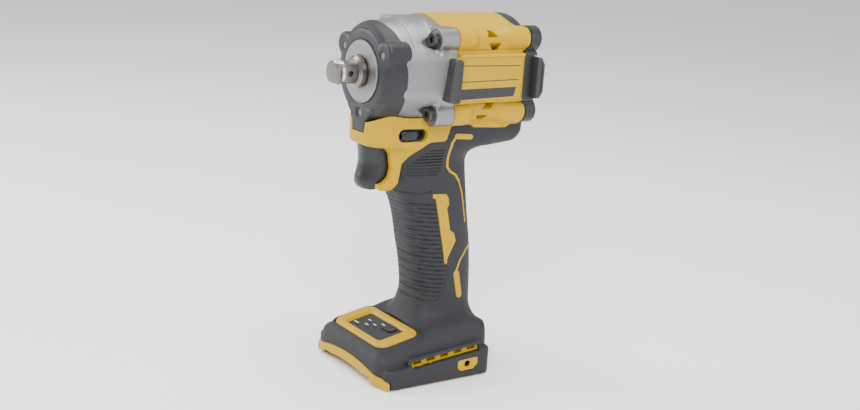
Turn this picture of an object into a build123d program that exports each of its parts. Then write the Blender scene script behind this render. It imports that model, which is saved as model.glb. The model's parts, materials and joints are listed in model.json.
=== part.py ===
"""Compact cordless impact wrench, bare tool, as an assembly of separate pieces.

Frame: millimetres, +Z up, the drive square points along -X, the tool's left
side is -Y, and the origin is under the middle of the tool on the plane that
the battery foot stands on.
"""

import math
import os

from build123d import *

os.makedirs("parts", exist_ok=True)

# ---------------------------------------------------------------- overall size
AXIS_Z = 151.0  # height of the drive axis over the foot's lower plane
TIP_X = -51.0  # front end of the drive square
REAR_X = 51.0  # rear end of the rear bumpers
FOOT_HALF_WIDTH = 34.5

FIT = 0.05  # radial clearance of a running fit
SEAT = 0.02  # radial clearance of a seated piece
GAP = 0.3  # clearance between bodies that move past each other

# ------------------------------------------------------------ barrel and nose
NOSE_X = -35.5  # front face of the aluminium nose
BORDER_X = -2.0  # joint between the nose and the plastic barrel
CAP_X = 41.0  # joint between the barrel and the rear cap
CAP_REAR_X = 49.5
BARREL_R = 27.5
BARREL_INNER_R = 25.4
SIDE_Y = 31.5  # flat sides that carry the badge panels
SIDE_HALF_HEIGHT = 11.5
BOSS_Y = 22.8  # screw bosses, from the drive axis
BOSS_Z = 17.8
BOSS_R = 5.6
FRONT_BOSS_END_X = 16.0
REAR_BOSS_START_X = 29.0
SCREW_R = 1.9
SCREW_HEAD_R = 3.3
SCREW_HEAD_T = 2.5
NOSE_BOSS_R = 4.7
NOSE_BOSS_X = -9.0  # seat of the nose screw heads
NOSE_SCREW_LENGTH = 20.0

# ------------------------------------------------------------------ drive
SQUARE = 9.53  # 3/8 in drive square
SQUARE_TURN = 3.0  # resting angle of the square, degrees
SQUARE_BACK_X = -39.5
GROOVE_X = -47.6  # middle of the friction ring groove
GROOVE_W = 1.6
DETENT_X = -43.4
DETENT_R = 1.5
COLLAR_R = 7.6
JOURNAL_R = 7.0
JAW_FRONT_X = -21.6
JAW_BACK_X = -15.6
ANVIL_HUB_R = 9.5
JAW_R = 15.8
JAW_HALF_ANGLE = 20.0
PILOT_R = 3.5
BUSHING_R = 9.5

# ------------------------------------------------------- hammer and camshaft
HAMMER_FRONT_X = -15.3
HAMMER_BACK_X = -2.4
HAMMER_R = 21.0
LUG_FRONT_X = -21.3
LUG_INNER_R = 9.9
LUG_R = 19.5
LUG_HALF_ANGLE = 30.0
LUG_CENTRE = 142.0  # jaws stand at 90 and 270 degrees, lugs 2 degrees clear of them
SHAFT_R = 6.0
BALL_R = 2.0
BALL_X = -7.0
GROOVE_ARC = 135.0
SPRING_SEAT_X = -11.0
SPRING_R = 11.6
SPRING_WIRE_R = 1.1
CARRIER_FRONT_X = 4.0
CARRIER_R = 16.5

# ----------------------------------------------------------------- gear set
MODULE = 0.75
SUN_TEETH = 12
PLANET_TEETH = 18
RING_TEETH = 48
PRESSURE_ANGLE = 20.0
BACKLASH = 0.10
PLANET_ORBIT = MODULE * (SUN_TEETH + PLANET_TEETH) / 2
PLANET_ANGLES = (90.0, 210.0, 330.0)
PLANET_PIN_R = 2.0
GEAR_X = (7.2, 13.0)  # faces of the planet gears
RING_GEAR_X = (5.6, 14.4)
RING_GEAR_R = 23.0

# -------------------------------------------------------------------- motor
STACK_X = (22.5, 34.5)
STATOR_R = 25.3
STATOR_BORE_R = 13.2
ROTOR_R = 12.6
SHAFT_MOTOR_R = 3.97
FAN_X = (38.2, 42.6)
FAN_R = 22.0
FAN_BLADES = 11

# ---------------------------------------------------------- handle and foot
SKIN = 1.4  # thickness of the soft overmould
SKIN_LIFT = 0.7  # overmould's lower edge above the foot's lower edge
OVERMOULD_TOP_Z = 126.5
WALL = 2.2  # thickness of the plastic shell
# height, middle, half depth and half width of the handle
HANDLE = (
    (13.0, 14.0, 19.4, 18.0),
    (26.0, 14.6, 19.2, 18.0),
    (36.0, 16.2, 17.3, 15.8),
    (50.0, 15.2, 17.6, 15.5),
    (66.0, 12.5, 18.6, 15.7),
    (82.0, 9.0, 18.6, 15.7),
    (96.0, 4.5, 20.5, 15.2),
    (108.0, 3.6, 23.2, 15.2),
    (118.0, 8.5, 30.0, 16.5),
    (128.0, 11.0, 33.0, 18.5),
    (134.0, 11.0, 33.0, 19.0),
)
HANDLE_CORNER_R = 11.0
FOOT_FRONT_X = -34.5
FOOT_REAR_X = 34.0
FOOT_SIDE_TOP_Z = 13.5
FOOT_TOP_Z = 27.0
BAY_HALF_WIDTH = 27.0
BAY_TOP_Z = 8.8
BAY_REAR_X = 29.0
RAIL_HALF_GAP = 24.5
RAIL_Z = (1.0, 3.2)
ARCH_RISE = 4.0
INSERT_X = 16.0
INSERT_Z = 7.2
INSERT_R = 3.0
INSERT_BORE_R = 1.65

# ---------------------------------------------------------------- controls
TRIGGER_HALF_WIDTH = 8.2
BUTTON_X = -13.5
BUTTON_Z = 121.7
BUTTON_SIZE = (12.6, 4.6)
BUTTON_HALF_LENGTH = 16.8
TAIL_HALF_WIDTH = 5.5
TAIL_Z = (122.4, 130.0)
TAIL_X = (-38.2, -29.0)
# cross screws that join the two housing halves: station and height
HOUSING_SCREWS = (
    (-25.5, 121.4),
    (25.0, 118.0),
    (20.5, 96.0),
    (-5.5, 88.0),
    (26.5, 42.0),
    (29.6, 15.5),
    (-4.0, 15.2),
)
CROSS_SCREW_R = 1.5
CROSS_BOSS_R = 3.9
CROSS_HEAD_R = 2.9
CROSS_SEAT_Y = 8.0
LEVER_PIVOT_X = 0.5
LEVER_REACH = 14.0
PANEL_TILT = 11.0
PANEL_ORIGIN = (-17.7, 0.0, 19.8)
BEZEL_SIZE = (24.6, 47.0)
PAD_SIZE = (14.4, 31.0)
KEY_SIZE = (5.6, 9.6)
KEY_SPOT = (4.2, -6.0)  # middle of the key on the sloping panel

DRIVE_AXIS = Axis((0, 0, AXIS_Z), (1, 0, 0))
DRIVE_PLANE = Plane(origin=(0, 0, AXIS_Z), x_dir=(1, 0, 0), z_dir=(0, -1, 0))
SIDE_PLANE = Plane(origin=(0, 0, 0), x_dir=(1, 0, 0), z_dir=(0, -1, 0))
PANEL_PLANE = Plane(origin=PANEL_ORIGIN, x_dir=(1, 0, 0), z_dir=(0, 0, 1)).rotated((0, -PANEL_TILT, 0))
BOSS_SPOTS = [(y, z) for y in (-BOSS_Y, BOSS_Y) for z in (-BOSS_Z, BOSS_Z)]
SIDES = {"left": -1, "right": 1}


# ------------------------------------------------------------------ helpers
def across(x):
    """Plane square to the drive axis at station x, local x = +Y, local y = +Z."""
    return Plane(origin=(x, 0, AXIS_Z), x_dir=(0, 1, 0), z_dir=(1, 0, 0))


def turned(*points):
    """Solid turned about the drive axis from (station, radius) points."""
    with BuildPart() as body:
        with BuildSketch(DRIVE_PLANE):
            with BuildLine():
                Polyline(*points, close=True)
            make_face()
        revolve(axis=DRIVE_AXIS)
    return body.part


def tube(x_front, x_back, inner_r, outer_r):
    """Plain ring or disc about the drive axis."""
    with BuildPart() as body:
        with BuildSketch(across(x_front)):
            Circle(outer_r)
            if inner_r:
                Circle(inner_r, mode=Mode.SUBTRACT)
        extrude(amount=x_back - x_front)
    return body.part


def rods(spots, x_front, x_back, radius):
    """Round rods along X through (y, z) spots measured from the drive axis."""
    with BuildPart() as body:
        with BuildSketch(across(x_front)):
            with Locations(*spots):
                Circle(radius)
        extrude(amount=x_back - x_front)
    return body.part


def sector(x_front, x_back, inner_r, outer_r, centre, half_angle):
    """Part of a ring about the drive axis, centred on an angle from +Y to +Z."""
    corners = []
    for angle in (centre - half_angle, centre + half_angle):
        corners.append((math.cos(math.radians(angle)), math.sin(math.radians(angle))))
    middle = (math.cos(math.radians(centre)), math.sin(math.radians(centre)))
    with BuildPart() as body:
        with BuildSketch(across(x_front)):
            with BuildLine():
                first, last = corners
                Line((first[0] * inner_r, first[1] * inner_r), (first[0] * outer_r, first[1] * outer_r))
                ThreePointArc(
                    (first[0] * outer_r, first[1] * outer_r),
                    (middle[0] * outer_r, middle[1] * outer_r),
                    (last[0] * outer_r, last[1] * outer_r),
                )
                Line((last[0] * outer_r, last[1] * outer_r), (last[0] * inner_r, last[1] * inner_r))
                ThreePointArc(
                    (last[0] * inner_r, last[1] * inner_r),
                    (middle[0] * inner_r, middle[1] * inner_r),
                    (first[0] * inner_r, first[1] * inner_r),
                )
            make_face()
        extrude(amount=x_back - x_front)
    return body.part


def block(x, y, z):
    """Axis-aligned block between the pairs x, y and z."""
    with BuildPart() as body:
        with BuildSketch(Plane.XY.offset(z[0])):
            with Locations(((x[0] + x[1]) / 2, (y[0] + y[1]) / 2)):
                Rectangle(x[1] - x[0], y[1] - y[0])
        extrude(amount=z[1] - z[0])
    return body.part


def save(name, part):
    """Label a finished piece and write its file."""
    part.label = name
    export_step(part, f"parts/{name}.step")


def tooth_outline(teeth, addendum, dedendum, thinning):
    """Closed outline of a spur gear with involute flanks, a tooth on local +x."""
    pitch_r = MODULE * teeth / 2
    base_r = pitch_r * math.cos(math.radians(PRESSURE_ANGLE))
    tip_r = pitch_r + addendum
    root_r = pitch_r - dedendum
    half_pitch_angle = (math.pi * MODULE / 2 - thinning) / 2 / pitch_r
    involute_at_pitch = math.tan(math.radians(PRESSURE_ANGLE)) - math.radians(PRESSURE_ANGLE)

    def half_angle(radius):
        """Half of the tooth's angle at a radius."""
        pressure = math.acos(min(1.0, base_r / max(radius, base_r)))
        return half_pitch_angle + involute_at_pitch - (math.tan(pressure) - pressure)

    flank_start = max(base_r, root_r)
    radii = [flank_start + (tip_r - flank_start) * step / 4 for step in range(5)]
    points = []
    for tooth in range(teeth):
        centre = 2 * math.pi * tooth / teeth
        flank = [(root_r, half_angle(flank_start))] + [(radius, half_angle(radius)) for radius in radii]
        if root_r >= base_r:
            flank = flank[1:]
        for radius, half in flank:
            points.append((radius * math.cos(centre - half), radius * math.sin(centre - half)))
        for radius, half in reversed(flank):
            points.append((radius * math.cos(centre + half), radius * math.sin(centre + half)))
    return points


# --------------------------------------------------------- casing solid forms
def barrel_form(x_front, x_back, grow, bosses):
    """Round barrel with flat sides and, between the given stations, screw bosses."""
    with BuildPart() as body:
        with BuildSketch(across(x_front)):
            Circle(BARREL_R + grow)
        extrude(amount=x_back - x_front)
        with BuildSketch(across(x_front + 1.0)):
            RectangleRounded(2 * (SIDE_Y + grow), 2 * (SIDE_HALF_HEIGHT + grow), 3.5)
        extrude(amount=x_back - x_front - 1.0)
        for boss_front, boss_back in bosses:
            with BuildSketch(across(boss_front)):
                with Locations(*BOSS_SPOTS):
                    Circle(BOSS_R + grow)
                Circle(BARREL_R - 1.0)
            extrude(amount=boss_back - boss_front)
    return body.part


def handle_form(inset):
    """Handle from the foot's neck into the barrel, all sections inset alike."""
    with BuildPart() as body:
        for height, middle, half_depth, half_width in HANDLE:
            with BuildSketch(Plane(origin=(middle, 0, height))):
                RectangleRounded(
                    2 * (half_depth - inset),
                    2 * (half_width - inset),
                    HANDLE_CORNER_R - inset,
                )
        loft()
    return body.part


def foot_form(inset):
    """Battery foot: upright skirt, sloping shoulders and a flat panel slope in front."""
    front = FOOT_FRONT_X + inset
    rear = FOOT_REAR_X - inset
    half = FOOT_HALF_WIDTH - inset
    with BuildPart() as body:
        with BuildSketch(Plane.XY):
            with Locations(((front + rear) / 2, 0)):
                RectangleRounded(rear - front, 2 * half, 5.0)
        extrude(amount=FOOT_SIDE_TOP_Z - inset)
        with BuildSketch(Plane.XY.offset(FOOT_SIDE_TOP_Z - inset)):
            with Locations(((front + rear) / 2, 0)):
                RectangleRounded(rear - front, 2 * half - 6.0, 5.0)
        with BuildSketch(Plane.XY.offset(FOOT_TOP_Z - inset)):
            with Locations(((front + 2.0 + rear) / 2, 0)):
                RectangleRounded(rear - front - 2.0, 2 * (24.0 - inset), 5.0)
        loft()
        slope = PANEL_PLANE.offset(-inset)
        with BuildSketch(slope):
            with Locations((-4.9, 0)):
                Rectangle(40.0, 90.0)
        extrude(amount=30.0, mode=Mode.SUBTRACT)
    return body.part


def chin_form(inset):
    """Housing under the nose, over the trigger."""
    with BuildPart() as body:
        with BuildSketch(Plane.XY.offset(116.0 + inset)):
            with BuildLine():
                half = 15.5 - inset
                front = -38.5 + inset
                Line((8.0, -half), (front + 11.0, -half))
                JernArc((front + 11.0, -half), (-1, 0), 11.0, -90)
                Line((front, -half + 11.0), (front, half - 11.0))
                JernArc((front, half - 11.0), (0, 1), 11.0, -90)
                Line((front + 11.0, half), (8.0, half))
                Line((8.0, half), (8.0, -half))
            make_face()
        extrude(amount=17.0 - inset)
    return body.part


def hard_region():
    """Everything in front of and above the line where the overmould ends."""
    with BuildPart() as body:
        with BuildSketch(SIDE_PLANE.offset(-60.0)):
            with BuildLine():
                Polyline(
                    (-70, 96.3),
                    (-24, 96.3),
                    (-20.2, 98.0),
                    (-17.6, 104.5),
                    (-17.2, 109.4),
                    (-5.4, 117.8),
                    (4.5, 118.0),
                    (6.5, OVERMOULD_TOP_Z),
                    (70, OVERMOULD_TOP_Z),
                    (70, 200),
                    (-70, 200),
                    close=True,
                )
            make_face()
        extrude(amount=120.0)
    return body.part


def slot_row(x, z, count, size, y):
    """Row of openings through a side wall, along X, between the pair y."""
    with BuildPart() as body:
        with BuildSketch(Plane(origin=(0, y[0], 0), x_dir=(1, 0, 0), z_dir=(0, -1, 0))):
            with Locations((x, z)):
                with GridLocations(8.2, 0, count, 1):
                    Rectangle(*size)
        extrude(amount=y[0] - y[1])
    return body.part


def cross_rods(radius, y_from, y_to):
    """Round rods along Y at the stations of the housing screws."""
    with BuildPart() as body:
        with BuildSketch(Plane(origin=(0, y_from, 0), x_dir=(1, 0, 0), z_dir=(0, -1, 0))):
            with Locations(*HOUSING_SCREWS):
                Circle(radius)
        extrude(amount=y_from - y_to)
    return body.part


def half_of(part, side):
    """Left (-Y) or right (+Y) half of a part."""
    y_span = (-60, 0) if side == "left" else (0, 60)
    with BuildPart() as body:
        add(part)
        add(block((-80, 80), y_span, (-10, 200)), mode=Mode.INTERSECT)
    return body.part


def lobed_recess(spots, x_front, x_back):
    """Six-lobed driver recesses along X."""
    with BuildPart() as body:
        with BuildSketch(across(x_front)):
            with Locations(*spots):
                Circle(1.2)
                with PolarLocations(1.25, 6):
                    Circle(0.45)
        extrude(amount=x_back - x_front)
    return body.part


def arch_form(rise, x_front, x_back):
    """Space below the arched lower edge at the foot's front."""
    arch_r = (FOOT_HALF_WIDTH - 2) ** 2 / (2 * rise)
    with BuildPart() as body:
        with BuildSketch(Plane(origin=(x_front, 0, rise - arch_r), x_dir=(0, 1, 0), z_dir=(1, 0, 0))):
            Circle(arch_r)
        extrude(amount=x_back - x_front)
    return body.part


def gear_form(points, x_front, x_back, middle, phase):
    """Gear from its outline, turned by a phase about a middle at (y, z)."""
    with BuildSketch() as profile:
        with BuildLine():
            Polyline(*points, close=True)
        make_face()
    with BuildPart() as body:
        with BuildSketch(across(x_front)):
            with Locations(Location((middle[0], middle[1], 0), (0, 0, phase))):
                add(profile.sketch)
        extrude(amount=x_back - x_front)
    return body.part


def coil(x_front, x_back, radius, wire_r, turns, height):
    """Compression spring along X at a height."""
    length = x_back - x_front - 2 * wire_r
    with BuildPart() as body:
        with BuildLine() as path:
            Helix(
                pitch=length / turns,
                height=length,
                radius=radius,
                center=(x_front + wire_r, 0, height),
                direction=(1, 0, 0),
            )
        with BuildSketch(Plane(origin=path.line @ 0, z_dir=path.line % 0)):
            Circle(wire_r)
        sweep(path=path.line, is_frenet=True)
    return body.part


# --------------------------------------------------------------- aluminium nose
with BuildPart() as nose_form:
    add(
        turned(
            (NOSE_X, 0),
            (NOSE_X, 14.4),
            (NOSE_X + 0.5, 14.9),
            (-33.2, 14.9),
            (-32.5, 16.6),
            (-24.0, 22.6),
            (-21.8, 23.2),
            (-21.8, 24.9),
            (NOSE_BOSS_X, 26.4),
            (BORDER_X, 27.2),
            (BORDER_X, 0),
        )
    )
    add(rods(BOSS_SPOTS, NOSE_BOSS_X, BORDER_X, NOSE_BOSS_R))

with BuildPart() as nose_housing:
    add(nose_form.part)
    add(tube(BORDER_X, 15.0, 20.0, 25.0))
    add(tube(NOSE_X - 1, 0, 0, BUSHING_R + SEAT), mode=Mode.SUBTRACT)
    add(tube(-22.6, 0, 0, LUG_R + 0.5), mode=Mode.SUBTRACT)
    add(tube(-15.9, 16, 0, HAMMER_R + 0.5), mode=Mode.SUBTRACT)
    add(tube(3.0, 16, 0, RING_GEAR_R + SEAT), mode=Mode.SUBTRACT)
    add(rods(BOSS_SPOTS, NOSE_BOSS_X - 1, BORDER_X + 1, SCREW_R + 0.15), mode=Mode.SUBTRACT)
    add(rods(BOSS_SPOTS, NOSE_BOSS_X - 5, NOSE_BOSS_X, SCREW_HEAD_R + 0.2), mode=Mode.SUBTRACT)
save("nose_housing", nose_housing.part)

# ---------------------------------------------------------- rubber nose boot
LIGHT_ANGLES = (30.0, 150.0, 270.0)
LIGHT_R = 19.8
light_spots = [
    (LIGHT_R * math.cos(math.radians(angle)), LIGHT_R * math.sin(math.radians(angle))) for angle in LIGHT_ANGLES
]
with BuildPart() as nose_boot:
    add(
        turned(
            (-33.2, 14.0),
            (-34.4, 15.3),
            (-34.4, 17.2),
            (-33.0, 21.0),
            (-30.5, 24.0),
            (-27.0, 25.4),
            (-21.8, 25.5),
            (-21.8, 14.0),
        )
    )
    with BuildSketch(across(-33.4)):
        with PolarLocations(21.0, 3, start_angle=30.0):
            Circle(5.2)
    extrude(amount=12.6)
    add(block(TAIL_X, (-TAIL_HALF_WIDTH, TAIL_HALF_WIDTH), TAIL_Z))
    add(nose_form.part, mode=Mode.SUBTRACT)
    add(tube(-31.9, -31.1, 17.9, 22.0), mode=Mode.SUBTRACT)
    add(rods(light_spots, -35.0, -32.9, 1.9), mode=Mode.SUBTRACT)
    add(rods(light_spots, -32.9, -31.9, 1.6), mode=Mode.SUBTRACT)
save("nose_boot", nose_boot.part)

with BuildPart() as light_lenses:
    add(rods(light_spots, -34.0, -32.9, 1.9))
save("light_lenses", light_lenses.part)

with BuildPart() as light_leds:
    add(rods(light_spots, -32.8, -31.9, 1.3))
save("light_leds", light_leds.part)

with BuildPart() as light_board:
    add(tube(-31.9, -31.1, 17.9, 22.0))
save("light_board", light_board.part)

with BuildPart() as nose_screws:
    add(rods(BOSS_SPOTS, NOSE_BOSS_X - SCREW_HEAD_T, NOSE_BOSS_X, SCREW_HEAD_R))
    add(rods(BOSS_SPOTS, NOSE_BOSS_X, NOSE_BOSS_X + NOSE_SCREW_LENGTH, SCREW_R))
    add(lobed_recess(BOSS_SPOTS, NOSE_BOSS_X - SCREW_HEAD_T, NOSE_BOSS_X - 1.0), mode=Mode.SUBTRACT)
save("nose_screws", nose_screws.part)

# ---------------------------------------------------------- shared solid forms
hard = hard_region()
handle_outer = handle_form(0.0)
handle_core = handle_form(SKIN)
foot_outer = foot_form(0.0)
foot_core = foot_form(SKIN)
trigger_slot = block((-36.0, -8.0), (-TRIGGER_HALF_WIDTH - 0.4, TRIGGER_HALF_WIDTH + 0.4), (93.2, 119.0))
screw_mouths = cross_rods(CROSS_HEAD_R + 0.2, CROSS_SEAT_Y, 60)

# Part of the handle in front of the overmould's edge.
with BuildPart() as hard_handle:
    add(handle_outer)
    add(hard, mode=Mode.INTERSECT)

# Solid of the hard shell before it is hollowed, used for both halves and for
# the inner face of the overmould.
with BuildPart() as shell_form:
    add(barrel_form(BORDER_X, CAP_X, 0.0, ((BORDER_X, FRONT_BOSS_END_X), (REAR_BOSS_START_X, CAP_X))))
    add(handle_core)
    add(foot_core)
    add(hard_handle.part)
    add(chin_form(0.0))
    add(tube(TIP_X, BORDER_X, 0, BARREL_R), mode=Mode.SUBTRACT)
    add(rods(BOSS_SPOTS, -14.0, BORDER_X, NOSE_BOSS_R), mode=Mode.SUBTRACT)
    add(block(TAIL_X, (-TAIL_HALF_WIDTH, TAIL_HALF_WIDTH), TAIL_Z), mode=Mode.SUBTRACT)
    add(block((-40, TAIL_X[0]), (-TAIL_HALF_WIDTH, TAIL_HALF_WIDTH), TAIL_Z), mode=Mode.SUBTRACT)
    # room for the rear cap
    add(tube(CAP_X, REAR_X + 1, 0, BARREL_R + GAP), mode=Mode.SUBTRACT)
    add(block((CAP_X, REAR_X + 1), (-SIDE_Y, SIDE_Y), (OVERMOULD_TOP_Z, 200)), mode=Mode.SUBTRACT)

# ------------------------------------------------------------- hard housing
# Floor of the electronics space, and the rails of the battery bay under it.
with BuildPart() as bay:
    add(foot_core)
    add(block((-40, 40), (-40, 40), (BAY_TOP_Z + WALL, 60)), mode=Mode.SUBTRACT)
    add(
        block((FOOT_FRONT_X + 3.6, BAY_REAR_X), (-BAY_HALF_WIDTH, BAY_HALF_WIDTH), (-1, BAY_TOP_Z)),
        mode=Mode.SUBTRACT,
    )
    for side in SIDES.values():
        rail_y = sorted((side * RAIL_HALF_GAP, side * (BAY_HALF_WIDTH + 1)))
        add(block((-28, 24), rail_y, RAIL_Z))

# Bosses of the cross screws, from wall to wall.
with BuildPart() as cross_bosses:
    add(cross_rods(CROSS_BOSS_R, -40, 40))
    add(shell_form.part, mode=Mode.INTERSECT)
    add(tube(BORDER_X - 1.0, CAP_X + 1.0, 0, BARREL_INNER_R), mode=Mode.SUBTRACT)

with BuildPart() as shell:
    add(shell_form.part)
    # barrel, handle, chin and foot interiors
    add(tube(BORDER_X - 1.0, CAP_X + 1.0, 0, BARREL_INNER_R), mode=Mode.SUBTRACT)
    add(
        block((2.0, CAP_X + 1), (-SIDE_Y + WALL, SIDE_Y - WALL), (AXIS_Z - 9.2, AXIS_Z + 9.2)),
        mode=Mode.SUBTRACT,
    )
    add(handle_form(SKIN + WALL), mode=Mode.SUBTRACT)
    add(chin_form(WALL), mode=Mode.SUBTRACT)
    add(foot_form(SKIN + WALL), mode=Mode.SUBTRACT)
    # floor of the electronics space, and the battery bay under it
    add(bay.part)
    # arched lower edge at the front, where the battery slides in
    add(arch_form(ARCH_RISE, -40, -30), mode=Mode.SUBTRACT)
    # bosses of the cross screws, from wall to wall
    add(cross_bosses.part)
    add(cross_rods(CROSS_SCREW_R + SEAT, -CROSS_SEAT_Y, CROSS_SEAT_Y), mode=Mode.SUBTRACT)
    add(screw_mouths, mode=Mode.SUBTRACT)
    # opening for the terminal block
    add(block((0.4, 25.6), (-15.1, 15.1), (BAY_TOP_Z - 1, BAY_TOP_Z + WALL + 1)), mode=Mode.SUBTRACT)
    # trigger slot and the hole of the direction button
    add(trigger_slot, mode=Mode.SUBTRACT)
    with BuildSketch(SIDE_PLANE.offset(-60.0)):
        with Locations((BUTTON_X, BUTTON_Z)):
            SlotOverall(BUTTON_SIZE[0] + 2 * GAP, BUTTON_SIZE[1] + 2 * GAP)
    extrude(amount=120.0, mode=Mode.SUBTRACT)
    # pilot holes of the nose and cap screws
    add(rods(BOSS_SPOTS, BORDER_X - 1, CAP_X + 1, SCREW_R + SEAT), mode=Mode.SUBTRACT)
    # air vents in the barrel's corners and in the foot's sides
    for side in SIDES.values():
        for lean in (-1, 1):
            y_span = sorted((side * 12.0, side * 40.0))
            add(slot_row(22.5 - lean, AXIS_Z - lean * 15.6, 1, (6.5, 2.2), y_span), mode=Mode.SUBTRACT)
            add(slot_row(21.5 - lean, AXIS_Z - lean * 20.0, 1, (4.5, 2.8), y_span), mode=Mode.SUBTRACT)
        y_span = sorted((side * 27.5, side * 40.0))
        add(slot_row(1.0, 12.6, 5, (4.6, 1.6), y_span), mode=Mode.SUBTRACT)
    # seats of the threaded hook inserts
    with BuildSketch(SIDE_PLANE.offset(-60.0)):
        with Locations((INSERT_X, INSERT_Z)):
            Circle(INSERT_R + SEAT)
    extrude(amount=120.0, mode=Mode.SUBTRACT)
    # window of the mode panel
    with BuildSketch(PANEL_PLANE.offset(-SKIN - WALL - 1.0)):
        RectangleRounded(PAD_SIZE[0] - 2.0, PAD_SIZE[1] - 2.0, 2.0)
    extrude(amount=12.0, mode=Mode.SUBTRACT)

for side in SIDES:
    with BuildPart() as housing_half:
        add(half_of(shell.part, side))
    save(f"housing_{side}", housing_half.part)

# ---------------------------------------------------------------- overmould
with BuildPart() as skin:
    add(handle_outer)
    add(foot_outer)
    add(shell_form.part, mode=Mode.SUBTRACT)
    add(hard, mode=Mode.SUBTRACT)
    add(tube(TIP_X, CAP_REAR_X, 0, BARREL_R), mode=Mode.SUBTRACT)
    add(handle_form(SKIN + 0.5), mode=Mode.SUBTRACT)
    add(foot_form(SKIN + 0.5), mode=Mode.SUBTRACT)
    add(arch_form(ARCH_RISE + 4.5, -40, -30), mode=Mode.SUBTRACT)
    add(block((-40, 40), (-40, 40), (-1, SKIN_LIFT)), mode=Mode.SUBTRACT)
    add(trigger_slot, mode=Mode.SUBTRACT)
    add(screw_mouths, mode=Mode.SUBTRACT)
    # seat of the mode bezel
    with BuildSketch(PANEL_PLANE.offset(-SKIN - 1.0)):
        RectangleRounded(*BEZEL_SIZE, 4.0)
    extrude(amount=8.0, mode=Mode.SUBTRACT)
    # windows that show the hard shell: foot vents and hook inserts
    with BuildSketch(SIDE_PLANE.offset(-60.0)):
        with Locations((1.0, 12.6)):
            RectangleRounded(40.5, 3.2, 1.0)
        with Locations((INSERT_X, INSERT_Z)):
            Circle(INSERT_R + 1.6)
        # accent panel on the grip
        with BuildLine():
            Polyline((2.0, 91.0), (10.4, 90.6), (17.2, 66.3), (11.6, 56.5), close=True)
        make_face()
    extrude(amount=120.0, mode=Mode.SUBTRACT)

for side in SIDES:
    with BuildPart() as grip_half:
        add(half_of(skin.part, side))
    save(f"grip_{side}", grip_half.part)

# ------------------------------------------------------------------ rear cap
with BuildPart() as cap_form:
    add(barrel_form(CAP_X, CAP_REAR_X, 0.0, ((CAP_X, REAR_X - 0.5),)))

with BuildPart() as rear_cap:
    add(cap_form.part)
    add(tube(CAP_X - 1, 47.5, 0, 24.6), mode=Mode.SUBTRACT)
    add(block((CAP_X - 1, 46.5), (-29.3, 29.3), (AXIS_Z - 9.2, AXIS_Z + 9.2)), mode=Mode.SUBTRACT)
    add(tube(43.2, 48.0, 0, 9.0))
    add(tube(43.0, 47.4, 0, 6.5 + SEAT), mode=Mode.SUBTRACT)
    for vent in range(6):
        add(sector(46.0, 52.0, 12.5, 21.5, 60.0 * vent, 11.0), mode=Mode.SUBTRACT)
    add(rods(BOSS_SPOTS, CAP_X - 1, 60, SCREW_R + 0.15), mode=Mode.SUBTRACT)
    add(rods(BOSS_SPOTS, 48.0, 60, SCREW_HEAD_R + 0.2), mode=Mode.SUBTRACT)
save("rear_cap", rear_cap.part)

with BuildPart() as rear_cap_screws:
    add(rods(BOSS_SPOTS, 48.0, 50.3, SCREW_HEAD_R))
    add(rods(BOSS_SPOTS, 30.0, 48.0, SCREW_R))
    add(lobed_recess(BOSS_SPOTS, 48.8, 50.3), mode=Mode.SUBTRACT)
save("rear_cap_screws", rear_cap_screws.part)

with BuildPart() as housing_screws:
    add(cross_rods(CROSS_SCREW_R, -CROSS_SEAT_Y + 1.0, CROSS_SEAT_Y))
    add(cross_rods(CROSS_HEAD_R, CROSS_SEAT_Y, CROSS_SEAT_Y + 2.4))
save("housing_screws", housing_screws.part)

# ------------------------------------------------------------------ bumpers
for side, sign in SIDES.items():
    with BuildPart() as front_bumper:
        with BuildSketch(Plane(origin=(0, sign * 26.0, 0), x_dir=(1, 0, 0), z_dir=(0, sign, 0))):
            with BuildLine():
                Polyline(
                    (-9.6, sign * -141.5),
                    (-2.0, sign * -141.5),
                    (-1.0, sign * -161.6),
                    (-8.6, sign * -161.6),
                    close=True,
                )
            make_face()
        extrude(amount=8.0)
        add(nose_form.part, mode=Mode.SUBTRACT)
        add(shell_form.part, mode=Mode.SUBTRACT)
        add(tube(-20, 5, 0, 27.25), mode=Mode.SUBTRACT)
    save(f"front_bumper_{side}", front_bumper.part)

    with BuildPart() as rear_bumper:
        add(block((44.5, REAR_X), sorted((sign * 24.0, sign * 34.0)), (141.5, 160.5)))
        add(cap_form.part, mode=Mode.SUBTRACT)
        add(block((30, CAP_REAR_X), sorted((sign * 20.0, sign * 31.5)), (130, 170)), mode=Mode.SUBTRACT)
    save(f"rear_bumper_{side}", rear_bumper.part)

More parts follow.
